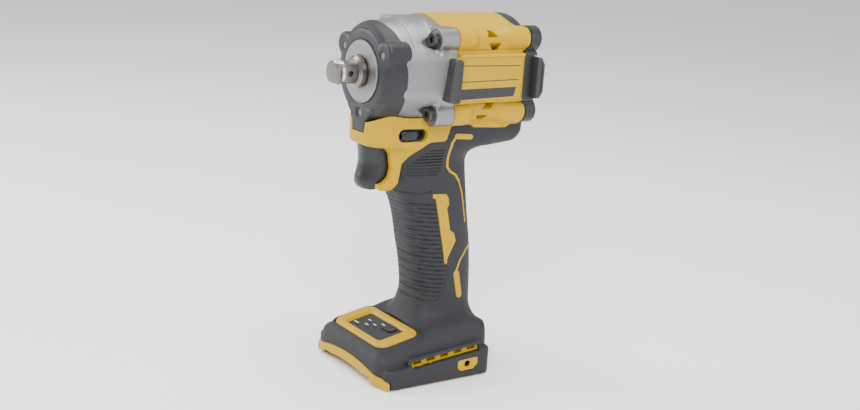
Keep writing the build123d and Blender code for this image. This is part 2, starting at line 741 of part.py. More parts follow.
# -------------------------------------------------------------------- anvil
turn = math.radians(SQUARE_TURN)
with BuildPart() as anvil:
    with BuildSketch(across(TIP_X)):
        RectangleRounded(SQUARE, SQUARE, 1.2, rotation=SQUARE_TURN)
    extrude(amount=SQUARE_BACK_X - TIP_X)
    add(
        turned(
            (TIP_X, 0),
            (TIP_X, 5.0),
            (TIP_X + 1.2, 6.2),
            (SQUARE_BACK_X, 6.2),
            (SQUARE_BACK_X, 0),
        ),
        mode=Mode.INTERSECT,
    )
    add(tube(GROOVE_X - GROOVE_W / 2, GROOVE_X + GROOVE_W / 2, 3.9, 8.0), mode=Mode.SUBTRACT)
    with BuildSketch(
        Plane(
            origin=(DETENT_X, 0, AXIS_Z),
            x_dir=(1, 0, 0),
            z_dir=(0, math.cos(turn), math.sin(turn)),
        )
    ):
        Circle(DETENT_R)
    extrude(amount=10.0, both=True, mode=Mode.SUBTRACT)
    add(
        turned(
            (SQUARE_BACK_X, 0),
            (SQUARE_BACK_X, 6.0),
            (-38.4, COLLAR_R),
            (-36.4, COLLAR_R),
            (-36.0, JOURNAL_R),
            (JAW_FRONT_X, JOURNAL_R),
            (JAW_FRONT_X, ANVIL_HUB_R),
            (JAW_BACK_X, ANVIL_HUB_R),
            (JAW_BACK_X, 0),
        )
    )
    for centre in (90.0, 270.0):
        add(sector(JAW_FRONT_X, JAW_BACK_X, 8.0, JAW_R, centre, JAW_HALF_ANGLE))
    add(tube(-26.0, JAW_BACK_X + 1, 0, PILOT_R + FIT), mode=Mode.SUBTRACT)
save("anvil", anvil.part)

with BuildPart() as friction_o_ring:
    with BuildSketch(DRIVE_PLANE):
        with Locations((GROOVE_X, 4.45)):
            Circle(0.5)
    revolve(axis=DRIVE_AXIS)
save("friction_o_ring", friction_o_ring.part)

with BuildPart() as hog_ring:
    add(tube(GROOVE_X - 0.7, GROOVE_X + 0.7, 5.0, 6.15))
    add(sector(GROOVE_X - 2, GROOVE_X + 2, 2.0, 9.0, 250.0, 12.0), mode=Mode.SUBTRACT)
save("hog_ring", hog_ring.part)

with BuildPart() as anvil_bushing:
    add(tube(-35.0, -22.6, JOURNAL_R + FIT, BUSHING_R))
save("anvil_bushing", anvil_bushing.part)

with BuildPart() as anvil_washer:
    add(tube(-22.5, -21.8, JOURNAL_R + 0.2, 13.0))
save("anvil_washer", anvil_washer.part)

# ------------------------------------------------------ hammer and camshaft
ball_spots = [(0, SHAFT_R), (0, -SHAFT_R)]
with BuildPart() as hammer:
    add(
        turned(
            (HAMMER_FRONT_X, SHAFT_R + FIT),
            (HAMMER_FRONT_X, HAMMER_R - 0.8),
            (HAMMER_FRONT_X + 0.8, HAMMER_R),
            (HAMMER_BACK_X, HAMMER_R),
            (HAMMER_BACK_X, 14.8),
            (SPRING_SEAT_X, 14.8),
            (SPRING_SEAT_X, 8.6),
            (-3.0, 8.6),
            (-3.0, SHAFT_R + FIT),
        )
    )
    for centre in (LUG_CENTRE, LUG_CENTRE + 180.0):
        add(sector(LUG_FRONT_X, HAMMER_FRONT_X + 1.0, LUG_INNER_R, LUG_R, centre, LUG_HALF_ANGLE))
    slot_back = BALL_X + BALL_R + FIT
    add(rods(ball_spots, HAMMER_FRONT_X - 1, slot_back, BALL_R + FIT), mode=Mode.SUBTRACT)
save("hammer", hammer.part)

with BuildPart() as camshaft:
    add(
        turned(
            (-25.6, 0),
            (-25.6, PILOT_R),
            (-15.2, PILOT_R),
            (-15.2, SHAFT_R),
            (CARRIER_FRONT_X, SHAFT_R),
            (CARRIER_FRONT_X, CARRIER_R),
            (6.8, CARRIER_R),
            (6.8, 0),
        )
    )
    # webs and rear disc of the planet carrier
    web_spots = []
    for angle in PLANET_ANGLES:
        web = math.radians(angle + 60.0)
        web_spots.append((12.8 * math.cos(web), 12.8 * math.sin(web)))
    add(rods(web_spots, 6.8, 13.4, 2.8))
    add(tube(13.4, 15.0, 6.2, CARRIER_R))
    # grooves that the balls run in, around each resting place
    for start in (-GROOVE_ARC / 2, 180.0 - GROOVE_ARC / 2):
        ball = math.radians(start + 90.0)
        with BuildSketch(
            Plane(
                origin=(0, 0, AXIS_Z),
                x_dir=(1, 0, 0),
                z_dir=(0, math.sin(ball), -math.cos(ball)),
            )
        ):
            with Locations((BALL_X, SHAFT_R)):
                Circle(BALL_R + FIT)
        revolve(axis=DRIVE_AXIS, revolution_arc=GROOVE_ARC, mode=Mode.SUBTRACT)
    pin_spots = []
    for angle in PLANET_ANGLES:
        pin = math.radians(angle)
        pin_spots.append((PLANET_ORBIT * math.cos(pin), PLANET_ORBIT * math.sin(pin)))
    add(rods(pin_spots, 4.4, 15.0, PLANET_PIN_R), mode=Mode.SUBTRACT)
save("camshaft", camshaft.part)

with BuildPart() as planet_pins:
    add(rods(pin_spots, 4.4, 15.0, PLANET_PIN_R))
save("planet_pins", planet_pins.part)

with BuildPart() as cam_balls:
    for spot in ball_spots:
        with Locations((BALL_X, spot[0], AXIS_Z + spot[1])):
            Sphere(BALL_R)
save("cam_balls", cam_balls.part)

with BuildPart() as spring_washer:
    add(tube(2.4, CARRIER_FRONT_X, 9.0, 14.2))
save("spring_washer", spring_washer.part)

with BuildPart() as hammer_spring:
    add(coil(SPRING_SEAT_X + FIT, 2.4 - FIT, SPRING_R, SPRING_WIRE_R, 3.0, AXIS_Z))
save("hammer_spring", hammer_spring.part)

# ----------------------------------------------------------------- gear set
ADDENDUM = 0.85 * MODULE
DEDENDUM = 1.2 * MODULE
planet_points = tooth_outline(PLANET_TEETH, ADDENDUM, DEDENDUM, BACKLASH)
for number, angle in enumerate(PLANET_ANGLES, start=1):
    middle = pin_spots[number - 1]
    # a tooth gap faces the sun, and the opposite gap faces the ring
    phase = angle + 180.0 / PLANET_TEETH
    with BuildPart() as planet_gear:
        add(gear_form(planet_points, *GEAR_X, middle, phase))
        add(rods([middle], GEAR_X[0] - 1, GEAR_X[1] + 1, PLANET_PIN_R + FIT), mode=Mode.SUBTRACT)
    save(f"planet_gear_{number}", planet_gear.part)

ring_phase = PLANET_ANGLES[0] + 180.0 / RING_TEETH
with BuildPart() as ring_gear:
    add(tube(*RING_GEAR_X, 0, RING_GEAR_R))
    cutter = tooth_outline(RING_TEETH, DEDENDUM, ADDENDUM, -BACKLASH)
    add(gear_form(cutter, RING_GEAR_X[0] - 1, RING_GEAR_X[1] + 1, (0, 0), ring_phase), mode=Mode.SUBTRACT)
save("ring_gear", ring_gear.part)

with BuildPart() as gearbox_plate:
    add(tube(15.4, 18.2, 5.6, 25.0))
    add(tube(15.4, 19.8, 5.6, 9.6))
    add(tube(15.7, 20.0, 0, 8.0 + SEAT), mode=Mode.SUBTRACT)
save("gearbox_plate", gearbox_plate.part)

# -------------------------------------------------------------------- motor
with BuildPart() as bearing_front:
    add(tube(15.7, 19.6, SHAFT_MOTOR_R + 0.03, 8.0))
save("bearing_front", bearing_front.part)

with BuildPart() as bearing_rear:
    add(tube(43.6, 47.4, 2.5, 6.5))
save("bearing_rear", bearing_rear.part)

sun_points = tooth_outline(SUN_TEETH, ADDENDUM, DEDENDUM, BACKLASH)
with BuildPart() as motor_shaft:
    add(gear_form(sun_points, 7.1, 13.4, (0, 0), PLANET_ANGLES[0]))
    add(tube(13.4, 43.2, 0, SHAFT_MOTOR_R))
    add(tube(43.2, 47.0, 0, 2.47))
save("motor_shaft", motor_shaft.part)

magnet_size = (12.0, 2.2)
with BuildPart() as rotor_magnets:
    with BuildSketch(across(STACK_X[0] + 0.5)):
        with PolarLocations(9.2, 4, start_angle=45.0):
            Rectangle(magnet_size[1], magnet_size[0])
    extrude(amount=STACK_X[1] - STACK_X[0] - 1.0)
save("rotor_magnets", rotor_magnets.part)

with BuildPart() as rotor_core:
    add(tube(*STACK_X, SHAFT_MOTOR_R, ROTOR_R))
    add(rotor_magnets.part, mode=Mode.SUBTRACT)
save("rotor_core", rotor_core.part)

with BuildPart() as motor_fan:
    add(tube(FAN_X[0], FAN_X[0] + 1.0, SHAFT_MOTOR_R, FAN_R))
    add(tube(FAN_X[0], FAN_X[1], SHAFT_MOTOR_R, 7.0))
    with BuildSketch(across(FAN_X[0] + 0.5)):
        with PolarLocations(14.0, FAN_BLADES):
            Rectangle(15.4, 1.0)
    extrude(amount=FAN_X[1] - FAN_X[0] - 0.5)
save("motor_fan", motor_fan.part)

STATOR_TEETH = 6
with BuildPart() as stator_core:
    add(tube(*STACK_X, 21.5, STATOR_R))
    with BuildSketch(across(STACK_X[0])):
        with PolarLocations(17.9, STATOR_TEETH, start_angle=30.0):
            Rectangle(7.8, 7.0)
    extrude(amount=STACK_X[1] - STACK_X[0])
    for tooth in range(STATOR_TEETH):
        add(sector(*STACK_X, STATOR_BORE_R, 15.2, 30.0 + 60.0 * tooth, 24.0))
save("stator_core", stator_core.part)

with BuildPart() as stator_coils:
    with BuildSketch(across(19.8)):
        with PolarLocations(18.15, STATOR_TEETH, start_angle=30.0):
            RectangleRounded(5.0, 11.0, 1.2)
    extrude(amount=17.4)
    with BuildSketch(across(STACK_X[0])):
        with PolarLocations(18.3, STATOR_TEETH, start_angle=30.0):
            Rectangle(7.0, 7.0)
    extrude(amount=STACK_X[1] - STACK_X[0], mode=Mode.SUBTRACT)
save("stator_coils", stator_coils.part)

with BuildPart() as stator_insulators:
    add(tube(20.7, 22.4, 21.6, 24.6))
    add(tube(34.6, 36.3, 21.6, 24.6))
save("stator_insulators", stator_insulators.part)

with BuildPart() as hall_board:
    add(tube(18.4, 19.4, 10.0, 20.0))
save("hall_board", hall_board.part)

# ------------------------------------------------------------------ controls
TRIGGER_Z = 107.0
with BuildPart() as trigger:
    with BuildSketch(SIDE_PLANE.offset(-TRIGGER_HALF_WIDTH)):
        with BuildLine():
            Line((-15.0, 116.7), (-33.2, 116.7))
            Spline((-33.2, 116.7), (-31.6, 109.0), (-33.6, 98.8), (-31.4, 94.6), (-27.5, 93.6))
            Spline((-27.5, 93.6), (-23.4, 94.4), (-21.0, 96.8))
            Line((-21.0, 96.8), (-15.0, 97.6))
            Line((-15.0, 97.6), (-15.0, 116.7))
        make_face()
    extrude(amount=2 * TRIGGER_HALF_WIDTH)
    with BuildSketch(Plane.XY.offset(90.0)):
        with Locations((-14.0, 0)):
            RectangleRounded(2 * 20.0, 2 * TRIGGER_HALF_WIDTH, 5.0)
    extrude(amount=30.0, mode=Mode.INTERSECT)
    spring_pocket = [(0, TRIGGER_Z - AXIS_Z)]
    add(rods(spring_pocket, -24.0, -14.0, 4.9), mode=Mode.SUBTRACT)
    add(rods(spring_pocket, -24.5, -10.0, 2.4))
save("trigger", trigger.part)

with BuildPart() as trigger_spring:
    add(coil(-23.9, -8.1, 3.75, 0.45, 7.0, TRIGGER_Z))
save("trigger_spring", trigger_spring.part)

SWITCH_TOP_Z = 115.8
with BuildPart() as trigger_switch:
    add(block((-8.0, 14.0), (-8.4, 8.4), (98.2, SWITCH_TOP_Z)))
    fillet(trigger_switch.edges().filter_by(Axis.Z), 1.5)
    add(rods(spring_pocket, -9.0, -1.0, 2.4 + GAP), mode=Mode.SUBTRACT)
    with BuildSketch(Plane.XY.offset(SWITCH_TOP_Z)):
        with Locations((LEVER_PIVOT_X, 0)):
            Circle(1.4)
    extrude(amount=3.0)
save("trigger_switch", trigger_switch.part)

with BuildPart() as direction_lever:
    with BuildSketch(Plane.XY.offset(SWITCH_TOP_Z + GAP)):
        with Locations((LEVER_PIVOT_X, 0)):
            Circle(3.0)
    extrude(amount=3.0)
    with BuildSketch(Plane.XY.offset(117.3)):
        with Locations((LEVER_PIVOT_X - LEVER_REACH / 2, 0)):
            Rectangle(LEVER_REACH, 2.2)
        with Locations((LEVER_PIVOT_X - LEVER_REACH, 0)):
            Circle(1.6)
    extrude(amount=1.8)
    with BuildSketch(Plane.XY.offset(SWITCH_TOP_Z)):
        with Locations((LEVER_PIVOT_X, 0)):
            Circle(1.4 + FIT)
    extrude(amount=5.0, mode=Mode.SUBTRACT)
save("direction_lever", direction_lever.part)

with BuildPart() as direction_button:
    with BuildSketch(SIDE_PLANE.offset(-BUTTON_HALF_LENGTH)):
        with Locations((BUTTON_X, BUTTON_Z)):
            SlotOverall(*BUTTON_SIZE)
    extrude(amount=2 * BUTTON_HALF_LENGTH)
    # two tabs that straddle the lever's peg
    for sign in (-1, 1):
        add(block((-16.0, -11.0), sorted((sign * 1.75, sign * 3.4)), (117.0, 121.0)))
save("direction_button", direction_button.part)

# ---------------------------------------------------------------- mode panel
with BuildPart() as mode_bezel:
    with BuildSketch(PANEL_PLANE.offset(-SKIN)):
        RectangleRounded(*BEZEL_SIZE, 4.0)
        RectangleRounded(*PAD_SIZE, 2.0, mode=Mode.SUBTRACT)
    extrude(amount=SKIN + 1.2)
save("mode_bezel", mode_bezel.part)

with BuildPart() as mode_panel:
    with BuildSketch(PANEL_PLANE.offset(-SKIN)):
        RectangleRounded(*PAD_SIZE, 2.0)
        with Locations(KEY_SPOT):
            RectangleRounded(KEY_SIZE[0] + 2 * 0.2, KEY_SIZE[1] + 2 * 0.2, 2.6, mode=Mode.SUBTRACT)
    extrude(amount=SKIN + 0.3)
save("mode_panel", mode_panel.part)

with BuildPart() as mode_key:
    with BuildSketch(PANEL_PLANE.offset(-0.8)):
        with Locations(KEY_SPOT):
            RectangleRounded(*KEY_SIZE, 2.4)
    extrude(amount=1.6)
save("mode_key", mode_key.part)

with BuildPart() as mode_board:
    with BuildSketch(PANEL_PLANE.offset(-4.2)):
        RectangleRounded(12.0, 28.0, 1.0)
    extrude(amount=1.0)
save("mode_board", mode_board.part)

# -------------------------------------------------------------- electronics
with BuildPart() as control_module:
    add(block((4.4, 20.2), (-8.2, 8.2), (38.0, 91.5)))
    fillet(control_module.edges().filter_by(Axis.Z), 2.0)
save("control_module", control_module.part)

BLADE_YS = [-9.0 + 3.6 * number for number in range(6)]
with BuildPart() as terminal_blades:
    for y in BLADE_YS:
        add(block((7.0, 22.0), (y - 0.4, y + 0.4), (1.6, 14.0)))
save("terminal_blades", terminal_blades.part)

with BuildPart() as terminal_block:
    add(block((0.5, 25.5), (-15.0, 15.0), (5.0, 16.5)))
    add(terminal_blades.part, mode=Mode.SUBTRACT)
save("terminal_block", terminal_block.part)

MOTOR_LEAD_R = 0.8
with BuildPart() as motor_leads:
    for y in (-5.0, 0.0, 5.0):
        with BuildLine() as route:
            FilletPolyline(
                (15.0, y, 91.5),
                (15.0, y, 98.5),
                (19.5, y, 107.0),
                (19.5, y, 129.8),
                radius=5.0,
            )
        with BuildSketch(Plane(origin=(15.0, y, 91.5))):
            Circle(MOTOR_LEAD_R)
        sweep(path=route.line)
save("motor_leads", motor_leads.part)

with BuildPart() as power_leads:
    with BuildSketch(Plane.XY.offset(16.5)):
        with Locations((10.0, -3.5), (10.0, 3.5)):
            Circle(1.1)
    extrude(amount=21.5)
save("power_leads", power_leads.part)

for side, sign in SIDES.items():
    with BuildPart() as hook_insert:
        with BuildSketch(SIDE_PLANE.offset(-sign * 33.6)):
            with Locations((INSERT_X, INSERT_Z)):
                Circle(INSERT_R)
                Circle(INSERT_BORE_R, mode=Mode.SUBTRACT)
        extrude(amount=sign * 6.0)
    save(f"hook_insert_{side}", hook_insert.part)
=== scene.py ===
import json
import math

import bpy
import numpy as np
from mathutils import Matrix, Vector


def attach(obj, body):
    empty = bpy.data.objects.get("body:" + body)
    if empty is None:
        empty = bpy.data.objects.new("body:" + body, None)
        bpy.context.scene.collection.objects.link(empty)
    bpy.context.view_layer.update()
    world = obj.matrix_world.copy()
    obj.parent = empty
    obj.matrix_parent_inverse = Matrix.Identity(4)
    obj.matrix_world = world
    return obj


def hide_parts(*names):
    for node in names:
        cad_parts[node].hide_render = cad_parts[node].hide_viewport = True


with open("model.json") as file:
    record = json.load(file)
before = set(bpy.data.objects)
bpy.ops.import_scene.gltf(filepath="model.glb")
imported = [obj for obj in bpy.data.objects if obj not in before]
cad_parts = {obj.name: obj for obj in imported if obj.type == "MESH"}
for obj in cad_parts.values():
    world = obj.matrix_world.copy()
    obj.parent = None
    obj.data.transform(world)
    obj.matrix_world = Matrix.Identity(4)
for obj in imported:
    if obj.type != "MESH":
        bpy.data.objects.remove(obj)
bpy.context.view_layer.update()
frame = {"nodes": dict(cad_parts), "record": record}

# All shapes are written in millimetres and become metres in the mesh.
MM = 0.001
AXIS_Z = 151.0
BARREL_R = 27.4
BOSS_Y, BOSS_Z = 22.8, 17.8  # screw bosses, from the drive axis
SKIN = 1.4  # thickness of the soft moulding
WALL = 2.2  # wall of the hard shell under it
FOOT_Y = 34.5  # half width of the battery foot
PANEL_X, PANEL_Z = 17.7, 19.8  # middle of the mode panel: ahead of the origin, and its height
PANEL_COS, PANEL_SIN = math.cos(math.radians(11.0)), math.sin(math.radians(11.0))
STRIP_X, STRIP_Z = 3.2, 12.9  # middle of the side vent strip
STRIP_COS, STRIP_SIN = math.cos(math.radians(5.2)), math.sin(math.radians(5.2))
WINDOWS = (30.0, 150.0, 270.0)  # light windows of the nose boot: degrees up from the right side
TRIGGER_Y = 8.2  # half width of the trigger
FILM_RISE = 0.8  # film of the mode panel over the slope


# ------------------------------------------------------------ distance forms
def smin(a, b, k):
    h = np.clip(0.5 + 0.5 * (b - a) / k, 0.0, 1.0)
    return b * (1 - h) + a * h - k * h * (1 - h)


def smax(a, b, k):
    return -smin(-a, -b, k)


def rounded(p, q, e):
    """Meeting of two distances with an outer corner of radius e."""
    p = p + e
    q = q + e
    return np.minimum(np.maximum(p, q), 0.0) + np.hypot(np.maximum(p, 0.0), np.maximum(q, 0.0)) - e


def box2(u, v, lo, hi, e):
    qu = np.abs(u - (lo[0] + hi[0]) / 2) - (hi[0] - lo[0]) / 2 + e
    qv = np.abs(v - (lo[1] + hi[1]) / 2) - (hi[1] - lo[1]) / 2 + e
    return np.hypot(np.maximum(qu, 0), np.maximum(qv, 0)) + np.minimum(np.maximum(qu, qv), 0.0) - e


def along(x, x0, x1):
    return np.abs(x - (x0 + x1) / 2) - (x1 - x0) / 2


def poly(u, v, points):
    """Exact distance to a closed outline."""
    best = None
    sign = np.ones_like(u)
    n = len(points)
    for i in range(n):
        ax, ay = points[i]
        bx, by = points[i - 1]
        ex, ey = bx - ax, by - ay
        wx, wy = u - ax, v - ay
        t = np.clip((wx * ex + wy * ey) / (ex * ex + ey * ey), 0.0, 1.0)
        d = (wx - ex * t) ** 2 + (wy - ey * t) ** 2
        best = d if best is None else np.minimum(best, d)
        c1 = v >= ay
        c2 = v < by
        c3 = ex * wy > ey * wx
        flip = (c1 & c2 & c3) | (~c1 & ~c2 & ~c3)
        sign = np.where(flip, -sign, sign)
    return sign * np.sqrt(best)


def trail(u, v, points, r):
    """Distance to an open line of round section r."""
    best = None
    for (ax, ay), (bx, by) in zip(points, points[1:]):
        ex, ey = bx - ax, by - ay
        wx, wy = u - ax, v - ay
        t = np.clip((wx * ex + wy * ey) / (ex * ex + ey * ey), 0.0, 1.0)
        d = (wx - ex * t) ** 2 + (wy - ey * t) ** 2
        best = d if best is None else np.minimum(best, d)
    return np.sqrt(best) - r


def spline(points, step=0.5):
    """Smooth table through (station, value, value, ...) points."""
    p = np.array(points, float)
    s = np.arange(p[0, 0], p[-1, 0] + step / 2, step)
    out = [s]
    for c in range(1, p.shape[1]):
        m = np.gradient(p[:, c], p[:, 0])
        i = np.clip(np.searchsorted(p[:, 0], s, side="right") - 1, 0, len(p) - 2)
        h = p[i + 1, 0] - p[i, 0]
        t = (s - p[i, 0]) / h
        v = (
            (2 * t**3 - 3 * t**2 + 1) * p[i, c]
            + (t**3 - 2 * t**2 + t) * h * m[i]
            + (-2 * t**3 + 3 * t**2) * p[i + 1, c]
            + (t**3 - t**2) * h * m[i + 1]
        )
        out.append(v)
    return out


def step_up(v, a, b):
    t = np.clip((v - a) / (b - a), 0.0, 1.0)
    return t * t * (3 - 2 * t)


# ------------------------------------------------------------------- meshing
def grid_mesh(f, lo, hi, cell):
    """Crisp-edged surface of f < 0 inside a box, as vertices and quads."""
    block = 6
    lo = np.array(lo, float)
    nb = np.ceil((np.array(hi, float) - lo) / cell / block).astype(int) + 1
    n = nb * block
    mids = [lo[a] + (np.arange(nb[a]) * block + (block - 1) / 2) * cell for a in range(3)]
    cx, cy, cz = np.meshgrid(*mids, indexing="ij")
    coarse = f(cx, cy, cz)
    near = np.nonzero(np.abs(coarse) < 1.25 * (block * cell * 0.87 + cell))
    field = np.empty(n, np.float32)
    six = field.reshape(nb[0], block, nb[1], block, nb[2], block).transpose(0, 2, 4, 1, 3, 5)
    six[...] = coarse[..., None, None, None]
    o = np.arange(block) * cell
    ox, oy, oz = np.meshgrid(o, o, o, indexing="ij")
    for s in range(0, len(near[0]), 256):
        i, j, k = near[0][s : s + 256], near[1][s : s + 256], near[2][s : s + 256]
        bx = lo[0] + i * block * cell
        by = lo[1] + j * block * cell
        bz = lo[2] + k * block * cell
        six[i, j, k] = f(
            (bx[:, None, None, None] + ox).astype(np.float32),
            (by[:, None, None, None] + oy).astype(np.float32),
            (bz[:, None, None, None] + oz).astype(np.float32),
        )
    inside = field < 0
    ids, points, quads = [], [], []
    stride = np.array([n[1] * n[2], n[2], 1])
    for a in range(3):
        b, c = (a + 1) % 3, (a + 2) % 3
        first = [slice(0, None)] * 3
        second = [slice(0, None)] * 3
        first[a] = slice(0, -1)
        second[a] = slice(1, None)
        hit = np.nonzero(inside[tuple(first)] != inside[tuple(second)])
        hit = np.array(hit)
        hit = hit[:, (hit[b] > 0) & (hit[c] > 0)]
        f0 = field[tuple(hit)].astype(float)
        nxt = hit.copy()
        nxt[a] += 1
        f1 = field[tuple(nxt)].astype(float)
        base = lo[:, None] + hit * cell
        t0, t1 = np.zeros_like(f0), np.ones_like(f0)
        for _ in range(3):
            t = t0 + (t1 - t0) * np.clip(f0 / (f0 - f1), 0.03, 0.97)
            p = base.copy()
            p[a] += t * cell
            fm = f(p[0], p[1], p[2])
            same = (fm < 0) == (f0 < 0)
            t0, f0 = np.where(same, t, t0), np.where(same, fm, f0)
            t1, f1 = np.where(same, t1, t), np.where(same, f1, fm)
        t = t0 + (t1 - t0) * f0 / (f0 - f1)
        p = base.copy()
        p[a] += t * cell
        points.append(p)
        cellid = (stride[:, None] * hit).sum(0)
        around = [cellid - stride[b] - stride[c], cellid - stride[c], cellid, cellid - stride[b]]
        ids.append(np.array(around))
        q = np.array(around).T
        flip = ~inside[tuple(hit)]
        q[flip] = q[flip][:, ::-1]
        quads.append(q)
    p = np.concatenate(points, 1)
    e = 0.02
    g = np.array(
        [
            f(p[0] + e, p[1], p[2]) - f(p[0] - e, p[1], p[2]),
            f(p[0], p[1] + e, p[2]) - f(p[0], p[1] - e, p[2]),
            f(p[0], p[1], p[2] + e) - f(p[0], p[1], p[2] - e),
        ]
    )
    g /= np.maximum(np.linalg.norm(g, axis=0), 1e-9)
    owner = np.concatenate([i.reshape(-1) for i in ids])
    starts = np.cumsum([0] + [len(q) for q in quads[:-1]])
    source = np.concatenate([np.tile(np.arange(len(q)) + s, 4) for q, s in zip(quads, starts)])
    used, index = np.unique(owner, return_inverse=True)
    m = len(used)
    count = np.bincount(index, minlength=m)
    ps, gs = p[:, source], g[:, source]
    mass = np.array([np.bincount(index, ps[a], m) for a in range(3)]) / count
    dots = (gs * (ps - mass[:, index])).sum(0)
    rhs = np.array([np.bincount(index, gs[a] * dots, m) for a in range(3)]).T
    mat = np.empty((m, 3, 3))
    for a in range(3):
        for b in range(a, 3):
            mat[:, a, b] = mat[:, b, a] = np.bincount(index, gs[a] * gs[b], m)
    mat += (0.05 * count)[:, None, None] * np.eye(3)
    move = np.linalg.solve(mat, rhs[:, :, None])[:, :, 0]
    corner = np.array(np.unravel_index(used, n)).T * cell + lo
    verts = np.clip(mass.T + move, corner - 0.15 * cell, corner + 1.15 * cell)
    faces = np.searchsorted(used, np.concatenate(quads))
    return verts, faces


def make_object(name, verts, faces, sharp=32.0):
    mesh = bpy.data.meshes.new(name)
    mesh.vertices.add(len(verts))
    mesh.vertices.foreach_set("co", (verts * MM).astype(np.float32).ravel())
    sides = faces.shape[1]
    mesh.loops.add(len(faces) * sides)
    mesh.loops.foreach_set("vertex_index", faces.astype(np.int32).ravel())
    mesh.polygons.add(len(faces))
    mesh.polygons.foreach_set("loop_start", (np.arange(len(faces)) * sides).astype(np.int32))
    mesh.update(calc_edges=True)
    mesh.validate()
    mesh.polygons.foreach_set("use_smooth", np.ones(len(mesh.polygons), bool))
    mesh.set_sharp_from_angle(angle=math.radians(sharp))
    obj = bpy.data.objects.new(name, mesh)
    bpy.context.scene.collection.objects.link(obj)
    return obj


def piece(name, f, lo, hi, cell, body, material, nodes, sharp=32.0):
    verts, faces = grid_mesh(f, lo, hi, cell)
    obj = make_object(name, verts, faces, sharp)
    finish_piece(obj, body, material, nodes)
    return obj


def pair(name, f, lo, hi, cell, body, material, nodes, gap=0.04, sharp=32.0):
    """The left piece, and the right one as its mirror image."""
    verts, faces = grid_mesh(lambda x, y, z: np.maximum(f(x, y, z), y + gap), lo, hi, cell)
    left = make_object(name + "_left", verts, faces, sharp)
    right = make_object(name + "_right", verts * (1, -1, 1), faces[:, ::-1], sharp)
    finish_piece(left, body, material, nodes[:1])
    finish_piece(right, body, material, nodes[1:])
    return left, right


def finish_piece(obj, body, material, nodes):
    obj.data.materials.append(material)
    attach(obj, body)
    if nodes:
        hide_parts(*nodes)


# ------------------------------------------------------------------ materials
def material(
    name,
    colour,
    rough,
    metallic=0.0,
    grain=1.0,
    bump=0.1,
    mottle=0.06,
    wear=0.0,
    coat=0.0,
    rough_spread=0.12,
    alpha=1.0,
    glow=0.0,
    stretch=(1, 1, 1),
    shine=0.5,
):
    """Procedural finish: coarse mottle, fine grain bump, uneven roughness, worn edges."""
    m = bpy.data.materials.new(name)
    m.use_nodes = True
    t = m.node_tree
    n = t.nodes
    link = t.links.new
    shader = n["Principled BSDF"]
    coords = n.new("ShaderNodeTexCoord")
    mapping = n.new("ShaderNodeMapping")
    mapping.inputs["Scale"].default_value = stretch
    link(coords.outputs["Object"], mapping.inputs["Vector"])
    fine = n.new("ShaderNodeTexNoise")
    fine.inputs["Scale"].default_value = 1500.0 * grain
    fine.inputs["Detail"].default_value = 4.0
    fine.inputs["Roughness"].default_value = 0.6
    link(mapping.outputs[0], fine.inputs["Vector"])
    broad = n.new("ShaderNodeTexNoise")
    broad.inputs["Scale"].default_value = 65.0
    broad.inputs["Detail"].default_value = 6.0
    link(mapping.outputs[0], broad.inputs["Vector"])
    tone = n.new("ShaderNodeMapRange")
    tone.inputs["From Min"].default_value = 0.3
    tone.inputs["From Max"].default_value = 0.7
    tone.inputs["To Min"].default_value = 1.0 - mottle
    tone.inputs["To Max"].default_value = 1.0 + mottle
    link(broad.outputs["Fac"], tone.inputs["Value"])
    tint = n.new("ShaderNodeVectorMath")
    tint.operation = "SCALE"
    tint.inputs[0].default_value = colour
    link(tone.outputs[0], tint.inputs["Scale"])
    result = tint.outputs[0]
    if wear:
        shape = n.new("ShaderNodeNewGeometry")
        edge = n.new("ShaderNodeMapRange")
        edge.inputs["From Min"].default_value = 0.53
        edge.inputs["From Max"].default_value = 0.66
        edge.inputs["To Max"].default_value = wear
        link(shape.outputs["Pointiness"], edge.inputs["Value"])
        patchy = n.new("ShaderNodeMath")
        patchy.operation = "MULTIPLY"
        link(edge.outputs[0], patchy.inputs[0])
        link(broad.outputs["Fac"], patchy.inputs[1])
        mix = n.new("ShaderNodeMix")
        mix.data_type = "RGBA"
        mix.inputs[7].default_value = (
            min(1, colour[0] * 1.3 + 0.08),
            min(1, colour[1] * 1.3 + 0.08),
            min(1, colour[2] * 1.3 + 0.08),
            1,
        )
        link(patchy.outputs[0], mix.inputs[0])
        link(result, mix.inputs[6])
        result = mix.outputs[2]
    link(result, shader.inputs["Base Color"])
    gloss = n.new("ShaderNodeMapRange")
    gloss.inputs["From Min"].default_value = 0.3
    gloss.inputs["From Max"].default_value = 0.7
    gloss.inputs["To Min"].default_value = max(0.03, rough - rough_spread / 2)
    gloss.inputs["To Max"].default_value = min(1.0, rough + rough_spread / 2)
    link(broad.outputs["Fac"], gloss.inputs["Value"])
    link(gloss.outputs[0], shader.inputs["Roughness"])
    relief = n.new("ShaderNodeBump")
    relief.inputs["Strength"].default_value = bump
    relief.inputs["Distance"].default_value = 0.0003
    link(fine.outputs["Fac"], relief.inputs["Height"])
    link(relief.outputs[0], shader.inputs["Normal"])
    shader.inputs["Metallic"].default_value = metallic
    shader.inputs["Specular IOR Level"].default_value = shine
    shader.inputs["Coat Weight"].default_value = coat
    shader.inputs["Coat Roughness"].default_value = 0.12
    shader.inputs["Alpha"].default_value = alpha
    if glow:
        shader.inputs["Emission Color"].default_value = (*colour, 1)
        shader.inputs["Emission Strength"].default_value = glow
    return m


